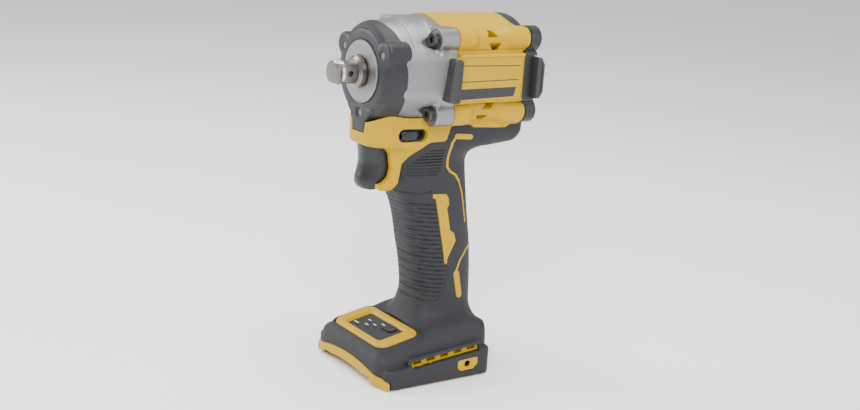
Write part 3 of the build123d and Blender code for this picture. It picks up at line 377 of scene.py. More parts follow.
YELLOW = material("yellow_shell", (0.46, 0.275, 0.0), 0.42, grain=1.3, bump=0.06, mottle=0.015, shine=0.2)
SOFT = material(
    "overmould", (0.019, 0.0195, 0.022), 0.62, grain=1.6, bump=0.35, mottle=0.08, wear=0.35, shine=0.3,
)
BOOT = material(
    "nose_boot_rubber", (0.017, 0.0175, 0.02), 0.48, grain=1.3, bump=0.22, mottle=0.08, wear=0.35,
    shine=0.35,
)
PLASTIC = material(
    "black_plastic", (0.014, 0.0145, 0.016), 0.42, grain=1.2, bump=0.16, mottle=0.06, wear=0.3, shine=0.35,
)
TRIGGER = material(
    "trigger_plastic", (0.012, 0.0122, 0.014), 0.3, grain=1.0, bump=0.05, mottle=0.05, wear=0.3, shine=0.4,
)
CAST = material(
    "cast_aluminium", (0.23, 0.232, 0.24), 0.4, metallic=0.9, grain=0.9, bump=0.6, mottle=0.08, wear=0.4,
    rough_spread=0.2,
)
STEEL = material(
    "tool_steel", (0.2, 0.185, 0.17), 0.3, metallic=1.0, grain=0.5, bump=0.06, mottle=0.1, wear=0.2,
    rough_spread=0.16, stretch=(1, 3, 3),
)
DARK_STEEL = material(
    "dark_steel", (0.085, 0.083, 0.082), 0.34, metallic=0.9, grain=0.8, bump=0.1, wear=0.5,
)
BRIGHT = material(
    "bright_steel", (0.62, 0.61, 0.6), 0.2, metallic=1.0, grain=0.6, bump=0.04, stretch=(1, 4, 4),
)
SPRING = material("spring_steel", (0.3, 0.3, 0.31), 0.28, metallic=1.0, grain=0.6, bump=0.05)
BRONZE = material("bronze", (0.2, 0.135, 0.075), 0.35, metallic=1.0, bump=0.12)
BRASS = material("brass", (0.72, 0.5, 0.19), 0.28, metallic=1.0, bump=0.06)
COPPER = material("copper_wire", (0.62, 0.22, 0.09), 0.3, metallic=1.0, bump=0.1, coat=0.5)
CORE = material(
    "laminations", (0.3, 0.3, 0.31), 0.42, metallic=0.9, grain=1.0, bump=0.25, stretch=(6, 1, 1),
)
MAGNET = material("magnet", (0.13, 0.13, 0.135), 0.4, metallic=0.6, bump=0.15)
RUBBER = material("black_rubber", (0.022, 0.022, 0.024), 0.58, grain=1.3, bump=0.25, wear=0.35)
NYLON = material("nylon", (0.7, 0.68, 0.6), 0.45, bump=0.08)
LENS = material("clear_lens", (0.2, 0.2, 0.17), 0.12, bump=0.02, alpha=0.8, coat=0.4)
LED = material("led", (0.95, 0.86, 0.45), 0.35, bump=0.05, glow=0.15)
BOARD = material("circuit_board", (0.02, 0.11, 0.05), 0.4, grain=0.7, bump=0.12, coat=0.3)
LEAD = material("wire_insulation", (0.03, 0.03, 0.035), 0.45, bump=0.08)
FILM = material("panel_film", (0.008, 0.008, 0.009), 0.34, grain=0.8, bump=0.03, mottle=0.04)
PRINT = material("dark_print", (0.013, 0.013, 0.015), 0.4, grain=1.0, bump=0.03)
PALE_PRINT = material("pale_print", (0.55, 0.56, 0.56), 0.45, grain=1.0, bump=0.03)

# ------------------------------------------------------------- case distances
# grip column: height, middle station, half depth, half width
HANDLE = (
    (6.0, 13.8, 19.6, 18.4),
    (16.0, 14.0, 19.4, 18.0),
    (26.0, 14.8, 18.9, 17.0),
    (36.0, 16.2, 17.3, 15.8),
    (50.0, 15.2, 17.6, 15.5),
    (66.0, 12.5, 18.6, 15.7),
    (82.0, 9.0, 18.6, 15.7),
    (96.0, 4.8, 20.8, 15.3),
    (108.0, 2.6, 22.4, 15.2),
    (118.0, 3.6, 24.6, 16.2),
    (128.0, 5.6, 26.6, 17.8),
    (138.0, 6.0, 27.0, 18.0),
)
H_Z, H_X, H_DEPTH, H_WIDTH = spline(HANDLE)


def handle(x, y, z, inset=0.0):
    """Grip column with a rounded, slightly squarish section."""
    mid = np.interp(z, H_Z, H_X)
    a = np.interp(z, H_Z, H_DEPTH) - inset
    b = np.interp(z, H_Z, H_WIDTH) - inset
    u = np.abs(x - mid) / a
    v = np.abs(y) / b
    p = np.interp(z, (70.0, 90.0, 104.0, 116.0), (2.7, 3.3, 3.3, 2.7))
    s = np.maximum((u**p + v**p), 1e-6)
    r = s ** (1 / p)
    gu = (u / r) ** (p - 1) / a
    gv = (v / r) ** (p - 1) / b
    side = (r - 1) / np.maximum(np.hypot(gu, gv), 1e-3)
    side = np.clip(side, -14.0, None)
    half = np.interp(x, (-4.0, 12.0, 30.0), (14.0, 18.5, 23.0)) - inset
    plan = rounded(np.abs(y) - half, np.maximum(x - 50.0, -6.0 - x) + inset, 7.0)
    saddle = rounded(plan, 113.6 + 0.1 * (x - 20.0) + inset - z, 7.5)
    return smin(side * 0.95, saddle * 0.97, 8.0)


def foot(x, y, z, inset=0.0):
    """Battery foot: upright skirt, sloping shoulders, panel slope in front."""
    ay = np.abs(y)
    skirt = box2(x, y, (-31.2 + inset, -FOOT_Y + inset), (30.8 - inset, FOOT_Y - inset), 4.5)
    top_edge = 9.6 + 0.074 * (x + 31.0) - inset
    skirt = rounded(skirt, np.abs(z) - top_edge, 1.6)
    shoulder = (ay - 25.4) * 0.707 + panel_plane(x, z) * 0.707
    across_form = smax(ay - 31.4, shoulder, 5.0)
    side_form = poly(
        x,
        z,
        (
            (-34.0, -30),
            (-34.2, 8.0),
            (-33.2, 13.5),
            (-31.0, 17.2),
            (-6.0, 22.0),
            (2.0, 25.0),
            (23.0, 28.6),
            (30.4, 25.6),
            (32.6, 17.0),
            (32.8, -30),
        ),
    )
    plan = box2(x, y, (-34.2, -31.4), (32.8, 31.4), 9.0)
    loaf = smax(smax(across_form, side_form, 4.0), plan, 2.0) + inset
    return smin(skirt, loaf, 0.5)


def panel_plane(x, z):
    """Height above the sloping panel in front of the handle."""
    return (z - PANEL_Z) * PANEL_COS - (x + PANEL_X) * PANEL_SIN


def panel_u(x, z):
    """Distance up the slope of the panel, from its middle."""
    return (x + PANEL_X) * PANEL_COS + (z - PANEL_Z) * PANEL_SIN


def panel_prism(x, y, z, grow, low, high):
    """Rounded rectangle of the mode panel's frame, raised from the slope."""
    w = panel_plane(x, z)
    half_u, half_y = 12.3 + grow, 23.6 + grow
    outline = box2(panel_u(x, z), y, (-half_u, -half_y), (half_u, half_y), 6.0)
    return np.maximum(outline, np.maximum(low - w, w - high))


def lower_body(x, y, z, inset=0.0):
    """Handle and foot in one, with a soft hollow between them."""
    h = np.maximum(handle(x, y, z, inset), np.maximum(4.0 - z, z - 137.0))
    return smin(h, foot(x, y, z, inset), 7.0)


def polar(y, z):
    """Angle from the top, the same on both sides, and radius about the drive axis."""
    dz = z - AXIS_Z
    return np.degrees(np.arctan2(np.abs(y), dz)), np.hypot(y, dz)


def corner_hull(y, z, r1, r2):
    """Section that joins a round barrel to its four corners by straight tangents."""
    reach = math.hypot(BOSS_Y, BOSS_Z)
    cy, cz = BOSS_Y / reach, BOSS_Z / reach
    ay, az = np.abs(y), np.abs(z - AXIS_Z)
    p = ay * cy + az * cz
    q = np.abs(az * cy - ay * cz)
    b = (r1 - r2) / reach
    a = math.sqrt(1 - b * b)
    k = -b * q + a * p
    tip = np.hypot(q, p - reach) - r2
    return np.where(k < 0, np.hypot(p, q) - r1, np.where(k > a * reach, tip, a * q + b * p - r1))


def nose_room(x):
    """Radius the housing keeps clear for the nose and its soft ring."""
    return np.interp(x, (-34.5, -27.5, -24.0, -15.0, -6.0), (24.3, 24.4, 24.7, 26.2, 26.95))


def boss_gap(y, z):
    """Distance from the axis of the nearest screw boss."""
    return np.hypot(np.abs(y) - BOSS_Y, np.abs(z - AXIS_Z) - BOSS_Z)


# ends of the yellow barrel: station at each angle from the top
FRONT_EDGE = np.array(
    (
        (0, -2.2),
        (36, -2.0),
        (39, 1.4),
        (70, 1.4),
        (73, -3.0),
        (76, -3.4),
        (104, -3.4),
        (108, -3.0),
        (111, 0.4),
        (140, 0.4),
        (144, -4.5),
        (150, -8.0),
        (180, -8.0),
    )
)
REAR_EDGE = np.array(
    (
        (0, 41.0),
        (30, 41.0),
        (42, 41.6),
        (48, 43.4),
        (62, 43.4),
        (67, 40.0),
        (72, 38.6),
        (108, 38.6),
        (113, 40.0),
        (118, 43.4),
        (134, 43.4),
        (142, 42.4),
        (180, 42.0),
    )
)
BUTTON = (-13.4, 121.9)  # station and height of the direction button


def outer_barrel(x, y, z):
    """Round barrel with flat sides and long screw bosses."""
    dz = z - AXIS_Z
    r = np.hypot(y, dz)
    ay, az = np.abs(y), np.abs(dz)
    body = r - BARREL_R
    flats = box2(y, dz, (-31.3, -11.6), (31.3, 11.6), 1.0)
    shoulder = corner_hull(y, z, 26.9, 4.4) + 0.8 * step_up(x, 11.0, 15.0) * (1 - step_up(x, 25.0, 29.0))
    core = smin(smin(body, shoulder, 1.5), flats, 0.6)
    b = np.hypot(ay - BOSS_Y, az - BOSS_Z) - 6.0
    front_end = np.hypot(np.maximum(x - 9.0, 0) * 1.1, b + 6.0) - 6.0
    front = np.maximum(front_end, x - 13.6)
    rear_end = np.hypot(np.maximum(33.0 - x, 0) * 0.9, b + 6.0) - 6.0
    bosses = np.minimum(front, rear_end)
    return smin(core, bosses, 1.1)


def vents(x, y, z):
    """Air openings in the corners, two above and two below on each side."""
    reach = math.hypot(BOSS_Y, BOSS_Z)
    cy, cz = BOSS_Y / reach, BOSS_Z / reach
    ay, dz = np.abs(y), z - AXIS_Z
    up = dz * cy - ay * cz
    down = -dz * cy - ay * cz
    upper_tri = poly(x, up, ((19.2, -0.9), (24.6, -0.9), (22.5, 3.6), (21.3, 3.6)))
    upper_slot = poly(x, up, ((20.2, -3.6), (26.6, -3.6), (25.0, -5.6), (21.8, -5.6)))
    lower_slot = poly(x, down, ((19.0, -3.9), (23.6, -3.9), (25.2, -5.6), (20.8, -5.6)))
    lower_tri = poly(x, down, ((15.6, -1.2), (22.0, -1.2), (19.4, 2.6), (18.2, 2.6)))
    upper = np.maximum(np.minimum(upper_tri, upper_slot), -dz)
    lower = np.maximum(np.minimum(lower_slot, lower_tri), dz)
    out = ay * cy + np.abs(dz) * cz
    return np.maximum(np.minimum(upper, lower) - 0.25, 20.0 - out)


def tail_flare(y, z):
    """Section of the boot's tail, narrowing downwards."""
    outline = ((-10.6, 133.6), (-5.8, 128.4), (-5.0, 122.6), (5.0, 122.6), (5.8, 128.4), (10.6, 133.6))
    return poly(y, z, outline) - 0.3


def chin(x, y, z):
    """Deck under the nose, over the trigger, rounded in plan."""
    plan = box2(x, y, (-35.0, -15.4), (30.0, 15.4), 11.5)
    rise = 131.0 + 0.12 * (x + 38.0)
    deck = rounded(plan, along(z, 115.9, 140.0), 1.8)
    return np.maximum(deck, z - rise)


# side view of what stays hard and yellow, in front of and above the soft grip
HARD = (
    (-70, 92.4),
    (-25.5, 92.6),
    (-21.4, 94.4),
    (-18.3, 98.0),
    (-17.4, 103.0),
    (-16.9, 107.4),
    (-13.4, 111.2),
    (-5.8, 117.2),
    (-3.6, 118.3),
    (3.6, 118.6),
    (4.6, 119.6),
    (6.0, 125.6),
    (7.4, 126.6),
    (16.4, 126.6),
    (18.6, 125.2),
    (36.6, 124.8),
    (39.0, 126.6),
    (70, 126.6),
    (70, 210),
    (-70, 210),
)
ACCENT_PANEL = (
    (1.0, 91.6),
    (9.0, 91.0),
    (10.6, 88.6),
    (10.9, 85.4),
    (9.9, 83.7),
    (12.6, 72.2),
    (15.2, 70.4),
    (16.6, 66.3),
    (12.4, 57.6),
    (12.2, 54.6),
    (10.9, 55.0),
    (10.4, 58.0),
    (2.8, 89.0),
    (1.0, 89.6),
)
# side views of the coarse ribs on the grip and of the fine ones above them
RIB_FIELD = ((-30, 89.5), (4.2, 88.0), (12.6, 53.0), (10.6, 39.5), (7.6, 36.6), (-30, 41.5))
FINE_FIELD = ((-14.8, 106.0), (-3.4, 114.2), (5.4, 115.2), (5.8, 105.0), (2.8, 100.2), (-14.3, 100.7))


def accents(x, z):
    """Where hard yellow shows through the soft grip, in side view."""
    d = poly(x, z, ACCENT_PANEL)
    d = np.minimum(d, trail(x, z, ((10.2, 120.9), (17.4, 120.4)), 1.35))
    line = (
        (9.8, 120.9), (8.0, 117.6), (7.8, 112.0), (8.6, 104.8), (10.4, 102.4), (14.2, 100.2), (16.6, 97.0),
    )
    d = np.minimum(d, trail(x, z, line, 0.6))
    d = np.minimum(d, trail(x, z, ((16.6, 97.0), (19.0, 91.4), (20.8, 84.0), (22.6, 75.6)), 0.42))
    d = np.minimum(d, trail(x, z, ((18.8, 48.6), (21.4, 37.4)), 1.75))
    return np.minimum(d, trail(x, z, ((18.6, 50.0), (20.6, 55.6), (24.6, 60.6), (28.6, 62.6)), 0.5))


def side_strip(x, z):
    """Local coordinates of the sloping vent strip on the foot's side."""
    u = (x - STRIP_X) * STRIP_COS + (z - STRIP_Z) * STRIP_SIN
    v = (z - STRIP_Z) * STRIP_COS - (x - STRIP_X) * STRIP_SIN
    return u, v


def hook_tab(x, z):
    """Side view of the yellow tab round the hook's threaded hole."""
    return poly(x, z, ((10.6, 9.1), (21.8, 9.6), (21.8, 6.4), (19.6, 4.4), (12.6, 4.2), (10.6, 5.8))) - 0.5


def arch(y, z, top, drop):
    """Below zero under the arched front edge."""
    return (z - top + drop * (y / FOOT_Y) ** 2) * 0.93


def mould_outer(x, y, z):
    """Outer face of the soft moulding, ribs and seams included."""
    d = lower_body(x, y, z)
    # raised frame round the side vents and the pocket inside it
    u, v = side_strip(x, z)
    frame_form = rounded(box2(u, v, (-22.2, -3.6), (21.6, 3.3), 2.2), np.abs(y) - 33.3, 0.8)
    d = smin(d, np.maximum(frame_form, 26.0 - np.abs(y)), 0.5)
    pocket = np.maximum(box2(u, v, (-20.4, -1.75), (20.4, 1.75), 0.8), 30.4 - np.abs(y))
    d = np.maximum(d, -pocket)
    # plateau that carries the mode panel
    d = smin(d, panel_prism(x, y, z, 1.1, -3.5, 0.5), 1.4)
    # grip ribs
    ribs = np.clip(-poly(x, z, RIB_FIELD) / 0.8, 0, 1)
    turn = (z + 0.06 * x) / 2.3
    phase = np.abs(turn % 1.0 - 0.5) * 2.3
    edge = np.interp(z, (40.0, 65.0, 90.0), (-1.5, -4.0, -9.0))
    front = 1 - step_up(x - edge - 1.6 * np.cos(np.pi * np.floor(turn)), -1.0, 1.0)
    groove = 1 - step_up(phase, 0.12, 0.5)
    swell = (2 * (turn % 1.0) - 1) ** 2
    d = d + ribs * (0.42 * groove * (1 - front) + front * 0.5 * swell)
    fine = np.clip(-poly(x, z, FINE_FIELD) / 0.6, 0, 1)
    wave = np.abs((z / 1.55) % 1.0 - 0.5) * 1.55
    d = d + fine * 0.4 * (1 - step_up(wave, 0.15, 0.5))
    # moulded seams
    seam = trail(x, z, ((-30, 93.4), (-14, 92.6), (-7.0, 92.0), (0.2, 92.8)), 0.0)
    lower_seam = ((-30, 40.0), (3.0, 35.0), (8.4, 35.2), (11.2, 38.6), (13.4, 52.0))
    seam = np.minimum(seam, trail(x, z, lower_seam, 0.0))
    return d + 0.4 * (1 - step_up(seam, 0.18, 0.6))


def button_bar(x, z, r):
    """Outline of the direction button's bar, of half height r."""
    return trail(x, z, ((BUTTON[0] - 4.6, BUTTON[1]), (BUTTON[0] + 0.9, BUTTON[1])), r)


def button_pocket(x, z, grow=0.0):
    """Outline of the pocket that the direction button slides in."""
    return trail(x, z, ((BUTTON[0] - 5.0, BUTTON[1]), (BUTTON[0] + 4.4, BUTTON[1])), 3.2 + grow)


def grip(x, y, z):
    """Soft moulding of both sides: a skin over the hard shell."""
    outer = mould_outer(x, y, z)
    inner = lower_body(x, y, z, SKIN)
    d = np.maximum(outer, -inner)
    d = np.maximum(d, -(poly(x, z, HARD) - 0.12))
    ay = np.abs(y)
    d = np.maximum(d, -np.maximum(accents(x, z) - 0.14, 4.0 - ay))
    # lower edge, raised a little over the hard shell, and the arch in front
    d = np.maximum(d, 0.7 - z)
    d = np.maximum(d, -np.maximum(arch(y, z, 9.2, 5.4), x + 29.0))
    d = np.maximum(d, -np.maximum(hook_tab(x, z) - 0.12, 25.0 - ay))
    u, v = side_strip(x, z)
    d = np.maximum(d, -np.maximum(box2(u, v, (-20.4, -1.75), (20.4, 1.75), 0.8), 25.0 - ay))
    bezel = panel_prism(x, y, z, 0.1, -4.5, 8.0)
    d = np.maximum(d, -bezel)
    stroke = ((-50, 92.8), (-26.0, 92.8), (-16.4, 96.6), (-10.6, 103.0), (-7.6, 119.0), (-50, 119.0))
    tail = poly(x, z, stroke)
    d = np.maximum(d, -np.maximum(tail, ay - 8.6))
    d = np.maximum(d, under_barrel(y, z))
    # lining of the direction button's pocket
    lining = np.maximum(button_pocket(x, z, -0.1), -button_pocket(x, z, -1.0))
    lining = np.maximum(lining, along(ay, 10.6, 14.9))
    floor = np.maximum(button_pocket(x, z, -0.1), along(ay, 10.6, 12.0))
    hole = np.maximum(button_bar(x, z, 2.6), ay - 30)
    return np.minimum(d, np.minimum(lining, np.maximum(floor, -hole)))


def under_barrel(y, z):
    """Keeps the soft moulding under the barrel."""
    return -(np.hypot(y, z - AXIS_Z) - 26.6)


def hard_side(x, y, z):
    """Hard plastic in front of and above the grip, down round the trigger."""
    h = np.maximum(handle(x, y, z), np.maximum(95.0 - z, z - 134.0))
    guard = rounded(
        poly(
            x,
            z,
            (
                (-28.8, 95.6),
                (-26.6, 94.2),
                (-22.0, 94.0),
                (-16.0, 96.0),
                (0, 96.0),
                (6, 110),
                (6, 126),
                (-30, 126),
                (-25.2, 118.5),
                (-22.9, 112.0),
                (-21.7, 105.3),
                (-22.6, 100.8),
                (-25.0, 98.6),
                (-27.2, 97.6),
                (-28.8, 97.6),
            ),
        ),
        np.abs(y) - 12.4,
        2.4,
    )
    d = smin(h, guard, 2.5)
    d = smin(d, chin(x, y, z), 5.0)
    return np.maximum(d, poly(x, z, HARD))


def housing(x, y, z):
    """Yellow shell: barrel, chin, guard and the core under the soft grip."""
    angle, r = polar(y, z)
    ay = np.abs(y)
    dz = z - AXIS_Z
    front = np.interp(angle, FRONT_EDGE[:, 0], FRONT_EDGE[:, 1])
    rear = np.interp(angle, REAR_EDGE[:, 0], REAR_EDGE[:, 1])
    barrel = outer_barrel(x, y, z)
    barrel = rounded(barrel, np.maximum(front - x, x - rear), 0.7)
    # the recessed badge, and a crease above and below it
    badge = rounded(box2(x, dz, (-0.4, -11.0), (38.0, 10.4), 0.8), 30.8 - ay, 0.1)
    barrel = np.maximum(barrel, -badge)
    ridge = trail(x, np.abs(dz), ((-4, 12.9), (40, 12.9)), 0.0)
    barrel = barrel + 0.35 * (1 - step_up(ridge, 0.1, 0.5)) * (ay > 20)
    barrel = np.maximum(barrel, -vents(x, y, z))
    side = hard_side(x, y, z)
    d = smin(barrel, np.maximum(side, nose_room(x) - 0.9 - r), 2.0)
    # room for the works in the barrel
    d = np.maximum(d, np.minimum(25.3, nose_room(x)) - r)
    core = np.maximum(lower_body(x, y, z, SKIN + 0.1), np.maximum(z - 135.0, x - 46.0))
    core = np.maximum(core, 26.0 - r)
    d = np.minimum(d, core)
    # yellow that comes up through the soft grip
    proud = np.maximum(lower_body(x, y, z) - 0.12, np.maximum(accents(x, z), 4.0 - ay))
    d = np.minimum(d, np.maximum(proud, 26.0 - r))
    tab = rounded(hook_tab(x, z), ay - 34.25, 0.4)
    tab = np.maximum(tab, 28.0 - ay)
    d = np.minimum(d, tab)
    u, v = side_strip(x, z)
    strip = np.maximum(box2(u, v, (-20.4, -1.7), (20.4, 1.7), 0.7), along(ay, 26.0, 31.6))
    slots = np.maximum(along(v, -0.85, 0.85), np.abs((u + 20.25) % 8.1 - 4.05) - 2.5)
    slots = np.maximum(slots, along(u, -20.2, 20.2))
    strip = np.maximum(strip, -slots)
    d = np.minimum(d, strip)
    rim = np.maximum(foot(x, y, z, -0.7), np.maximum(arch(y, z, 9.05, 5.4), x + 30.0))
    d = np.minimum(d, rim)
    # hollow inside
    hollow = lower_body(x, y, z, SKIN + WALL)
    hollow = np.maximum(hollow, 11.2 - z)
    cavity = np.maximum(box2(x, y, (-32.6, -13.0), (20.0, 13.0), 10.0), along(z, 119.2, 124.0))
    hollow = np.minimum(hollow, cavity)
    d = np.maximum(d, -hollow)
    # battery bay, its rails and the opening for the contacts
    bay = np.maximum(box2(x, y, (-31.0, -27.0), (29.0, 27.0), 0.5), z - 8.8)
    bay = np.minimum(bay, np.maximum(box2(x, y, (-40.0, -22.0), (0, 22.0), 0.5), z - 3.6))
    rails = np.maximum(box2(x, z, (-28.0, 1.0), (24.0, 3.2), 0.3), 24.5 - ay)
    d = np.maximum(d, -np.maximum(bay, -rails))
    d = np.maximum(d, -np.maximum(box2(x, y, (0.3, -15.2), (25.7, 15.2), 0.3), z - 14.0))
    d = np.maximum(d, -np.maximum(arch(y, z, 4.6, 5.4), x + 29.5))
    # trigger slot, button hole, hook thread, boot tail, panel seat
    slot = np.maximum(box2(x, z, (-34.0, 90.0), (-8.0, 120.5), 1.0), ay - 8.7)
    slot = np.maximum(slot, box2(x, y, (-34.6, -8.7), (0, 8.7), 7.6))
    d = np.maximum(d, -slot)
    d = np.maximum(d, -np.maximum(button_pocket(x, z), along(ay, 10.4, 30.0)))
    d = np.maximum(d, -np.maximum(button_bar(x, z, 2.6), ay - 30))
    d = np.maximum(d, -np.maximum(np.hypot(x - 16.0, z - 7.2) - 1.8, 26.0 - ay))
    d = np.maximum(d, -np.maximum(tail_flare(y, z) - 0.15, x + 28.6))
    d = np.maximum(d, -panel_prism(x, y, z, 0.0, -4.6, 8.0))
    # clear of the metal nose in front
    nose = np.maximum(r - nose_room(x), x + 2.0)
    nose = np.minimum(nose, np.maximum(boss_gap(y, z) - 6.1, x - 1.2))
    return np.maximum(d, -nose)


pair(
    "shell", housing, (-42, -36, -1), (50, 1.2, 180), 0.55, "body", YELLOW,
    ["housing_left", "housing_right"],
)
pair(
    "soft_grip", grip, (-38, -36, -1), (50, 1.2, 134), 0.5, "body", SOFT,
    ["grip_left", "grip_right"],
)

# ------------------------------------------------------------- metal nose
NOSE_PROFILE = (
    (-35.5, -5),
    (-35.5, 14.5),
    (-35.1, 14.9),
    (-33.2, 14.9),
    (-32.6, 16.4),
    (-30.0, 21.4),
    (-28.2, 22.9),
    (-24.0, 24.3),
    (-15.0, 25.8),
    (-6.0, 26.7),
    (3.0, 26.8),
    (3.0, -5),
)


def nose(x, y, z):
    """Cast nose: turned shell, four screw bosses and the driver flutes ahead of them."""
    r = np.hypot(y, z - AXIS_Z)
    d = poly(x, r, NOSE_PROFILE)
    gap = boss_gap(y, z)
    boss = rounded(gap - 5.9, along(x, -9.0, 1.1), 0.5)
    # web between the boss and the barrel, with straight tangents
    web = rounded(corner_hull(y, z, 25.6, 4.6), along(x, -7.4, 1.1), 0.6)
    cheek = rounded(box2(y, z - AXIS_Z, (-29.4, -17.5), (29.4, 17.5), 12.0), x - 1.0, 0.5)
    cheek = np.maximum(cheek + 0.28 * np.maximum(-3.0 - x, 0), -25.0 - x)
    d = smin(d, cheek, 3.0)
    d = smin(d, smin(boss, web, 1.0), 1.0)
    reach = np.clip((x + 28.0) / 19.0, 0, 1)
    flute = np.maximum(gap - 4.3 * reach - 0.2, x + 9.0)
    d = smax(d, -flute, 0.5)
    ring = trail(x, r, ((-19.0, 25.0), (-19.0, 24.9)), 0.0)
    d = d + 0.12 * (1 - step_up(ring, 0.2, 0.7))
    bore = np.minimum(r - 8.1, np.maximum(r - 9.6, -34.6 - x))
    bore = np.minimum(bore, np.maximum(r - 21.6, -22.6 - x))
    bore = np.minimum(bore, np.maximum(r - 23.2, 3.0 - x))
    d = np.maximum(d, -bore)
    return np.maximum(d, -(gap - 1.6))


piece(
    "cast_nose", nose, (-37, -32, 120), (4, 32, 182), 0.42, "body", CAST, ["nose_housing"],
)

# rear edge of the nose boot: station at each angle from the top
BOOT_EDGE = np.array(
    ((0, -28.0), (20, -27.4), (35, -26.0), (50, -25.0), (80, -24.2), (105, -23.8), (127, -23.4),
     (150, -22.6), (180, -22.0))
)
BOOT_PROFILE = (
    (-33.3, 14.2),
    (-34.6, 15.2),
    (-34.9, 16.2),
    (-34.6, 18.8),
    (-33.8, 21.2),
    (-32.2, 22.9),
    (-30.0, 23.9),
    (-26.0, 24.6),
    (-24.0, 24.9),
    (-18.0, 26.0),
    (-18.0, 12.0),
    (-33.3, 12.0),
)


def boot(x, y, z):
    """Soft ring round the nose, with three window lugs and a tail over the chin."""
    angle, r = polar(y, z)
    dz = z - AXIS_Z
    d = poly(x, r, BOOT_PROFILE)
    edge = np.interp(angle, BOOT_EDGE[:, 0], BOOT_EDGE[:, 1])
    lug = None
    for a in WINDOWS:
        cy, cz = math.cos(math.radians(a)), math.sin(math.radians(a))
        reach = 21.2 if a != 270.0 else 20.3
        g = np.hypot(y - reach * cy, dz - reach * cz)
        back = -21.8 if a != 270.0 else -24.0
        one = rounded(g - 5.8, np.maximum(-34.3 - x, x - back), 1.8)
        lug = one if lug is None else np.minimum(lug, one)
    d = rounded(d, x - edge, 0.6)
    d = smin(d, lug, 1.2)
    wedge = rounded(tail_flare(y, z), along(x, -35.0, -28.8), 0.9)
    d = smin(d, wedge, 1.6)
    # moulded steps on the face
    step = trail(x, r, ((-33.6, 20.4), (-33.5, 20.5)), 0.0)
    d = d + 0.3 * (1 - step_up(step, 0.15, 0.6)) * (np.abs(angle - 60) > 16) * (angle < 160)
    seam = trail(x, r, ((-27.6, 25.1), (-27.5, 25.2)), 0.0)
    d = d + 0.25 * (1 - step_up(seam, 0.15, 0.6))
    lights = None
    for a in WINDOWS:
        cy, cz = math.cos(math.radians(a)), math.sin(math.radians(a))
        g = np.hypot(y - 19.8 * cy, dz - 19.8 * cz)
        one = np.maximum(g - 1.5, x + 32.8)
        cup = np.maximum(g - 1.5 - np.clip(-34.0 - x, 0, 2), x + 33.8)
        one = np.minimum(one, cup)
        lights = one if lights is None else np.minimum(lights, one)
    d = np.maximum(d, -lights)
    shell = poly(x, r, NOSE_PROFILE) - 0.12
    return np.maximum(d, -shell)


piece("soft_boot", boot, (-40, -28, 120), (-17, 28, 180), 0.42, "body", BOOT, ["nose_boot"])


# --------------------------------------------------------------- rear cap
def rear_cap(x, y, z):
    """Cap behind the motor: rounded rim, screw lugs, radial air slots."""
    angle, r = polar(y, z)
    dz = z - AXIS_Z
    ay, az = np.abs(y), np.abs(dz)
    rear = np.interp(angle, REAR_EDGE[:, 0], REAR_EDGE[:, 1])
    start = rear + 0.25
    disc = rounded(r - BARREL_R + 0.1, x - 49.3, 3.0)
    cheeks = rounded(box2(y, dz, (-30.2, -12.6), (30.2, 12.6), 2.0), x - 47.4, 1.2)
    lugs = rounded(np.hypot(ay - BOSS_Y, az - BOSS_Z) - 6.2, x - 50.4, 1.2)
    web = rounded(box2(ay, az, (8.0, 8.0), (25.5, 20.5), 3.0), x - 49.6, 1.5)
    d = smin(smin(disc, cheeks, 1.5), smin(lugs, web, 2.5), 2.0)
    d = np.maximum(d, start - x)
    dish = np.maximum(r - 19.5, 48.0 - x)
    d = smax(d, -dish, 0.5)
    theta = np.degrees(np.arctan2(dz, y))
    turn = np.abs((theta + 15.0) % 30.0 - 15.0)
    arc = np.maximum((turn * np.pi / 180 * r) - 1.15, along(r, 9.5, 17.6))
    d = np.maximum(d, -(arc - 0.3))
    hub = np.hypot(r - 6.2, x - 48.0) - 0.5
    d = np.maximum(d, -hub)
    inside = np.maximum(r - 23.2, x - 45.4)
    d = np.maximum(d, -inside)
    boxed = np.maximum(box2(y, dz, (-28.5, -9.0), (28.5, 9.0), 1.0), x - 45.2)
    d = np.maximum(d, -boxed)
    gap = boss_gap(y, z)
    d = np.maximum(d, -np.minimum(gap - 1.6, np.maximum(gap - 3.2, 47.6 - x)))
    pads = np.maximum(box2(x, az, (44.6, -1), (53, 10.2), 0.5), 26.6 - ay)
    return np.maximum(d, -pads)


piece(
    "back_cap", rear_cap, (37, -33, 119), (53, 33, 181), 0.45, "body", PLASTIC, ["rear_cap"],
)


def front_pad(x, y, z):
    """Bumper over the joint of the nose and the barrel."""
    outline = poly(x, z, ((-3.0, 159.2), (-1.0, 159.0), (-1.6, 141.3), (-4.9, 141.9))) - 1.6
    d = rounded(outline, along(np.abs(y), 26.6, 34.4), 1.1)
    dish = rounded(outline + 1.5, 34.15 - np.abs(y), 0.2)
    return np.maximum(d, -dish)


def rear_pad(x, y, z):
    """Bumper over the joint of the barrel and the rear cap."""
    corners = ((44.8, 160.6), (47.4, 160.6), (49.4, 157.2), (49.4, 143.8), (47.4, 140.6), (44.8, 140.6))
    outline = poly(x, z, corners)
    d = rounded(outline, along(np.abs(y), 26.8, 34.4), 1.2)
    dish = rounded(outline + 1.7, 34.0 - np.abs(y), 0.2)
    return np.maximum(d, -dish)


pair("front_pad", front_pad, (-13, -36, 138), (2, -24, 164), 0.35, "body", RUBBER,
     ["front_bumper_left", "front_bumper_right"])
pair("rear_pad", rear_pad, (42.5, -36, 138), (52.5, -25, 163), 0.35, "body", RUBBER,
     ["rear_bumper_left", "rear_bumper_right"])

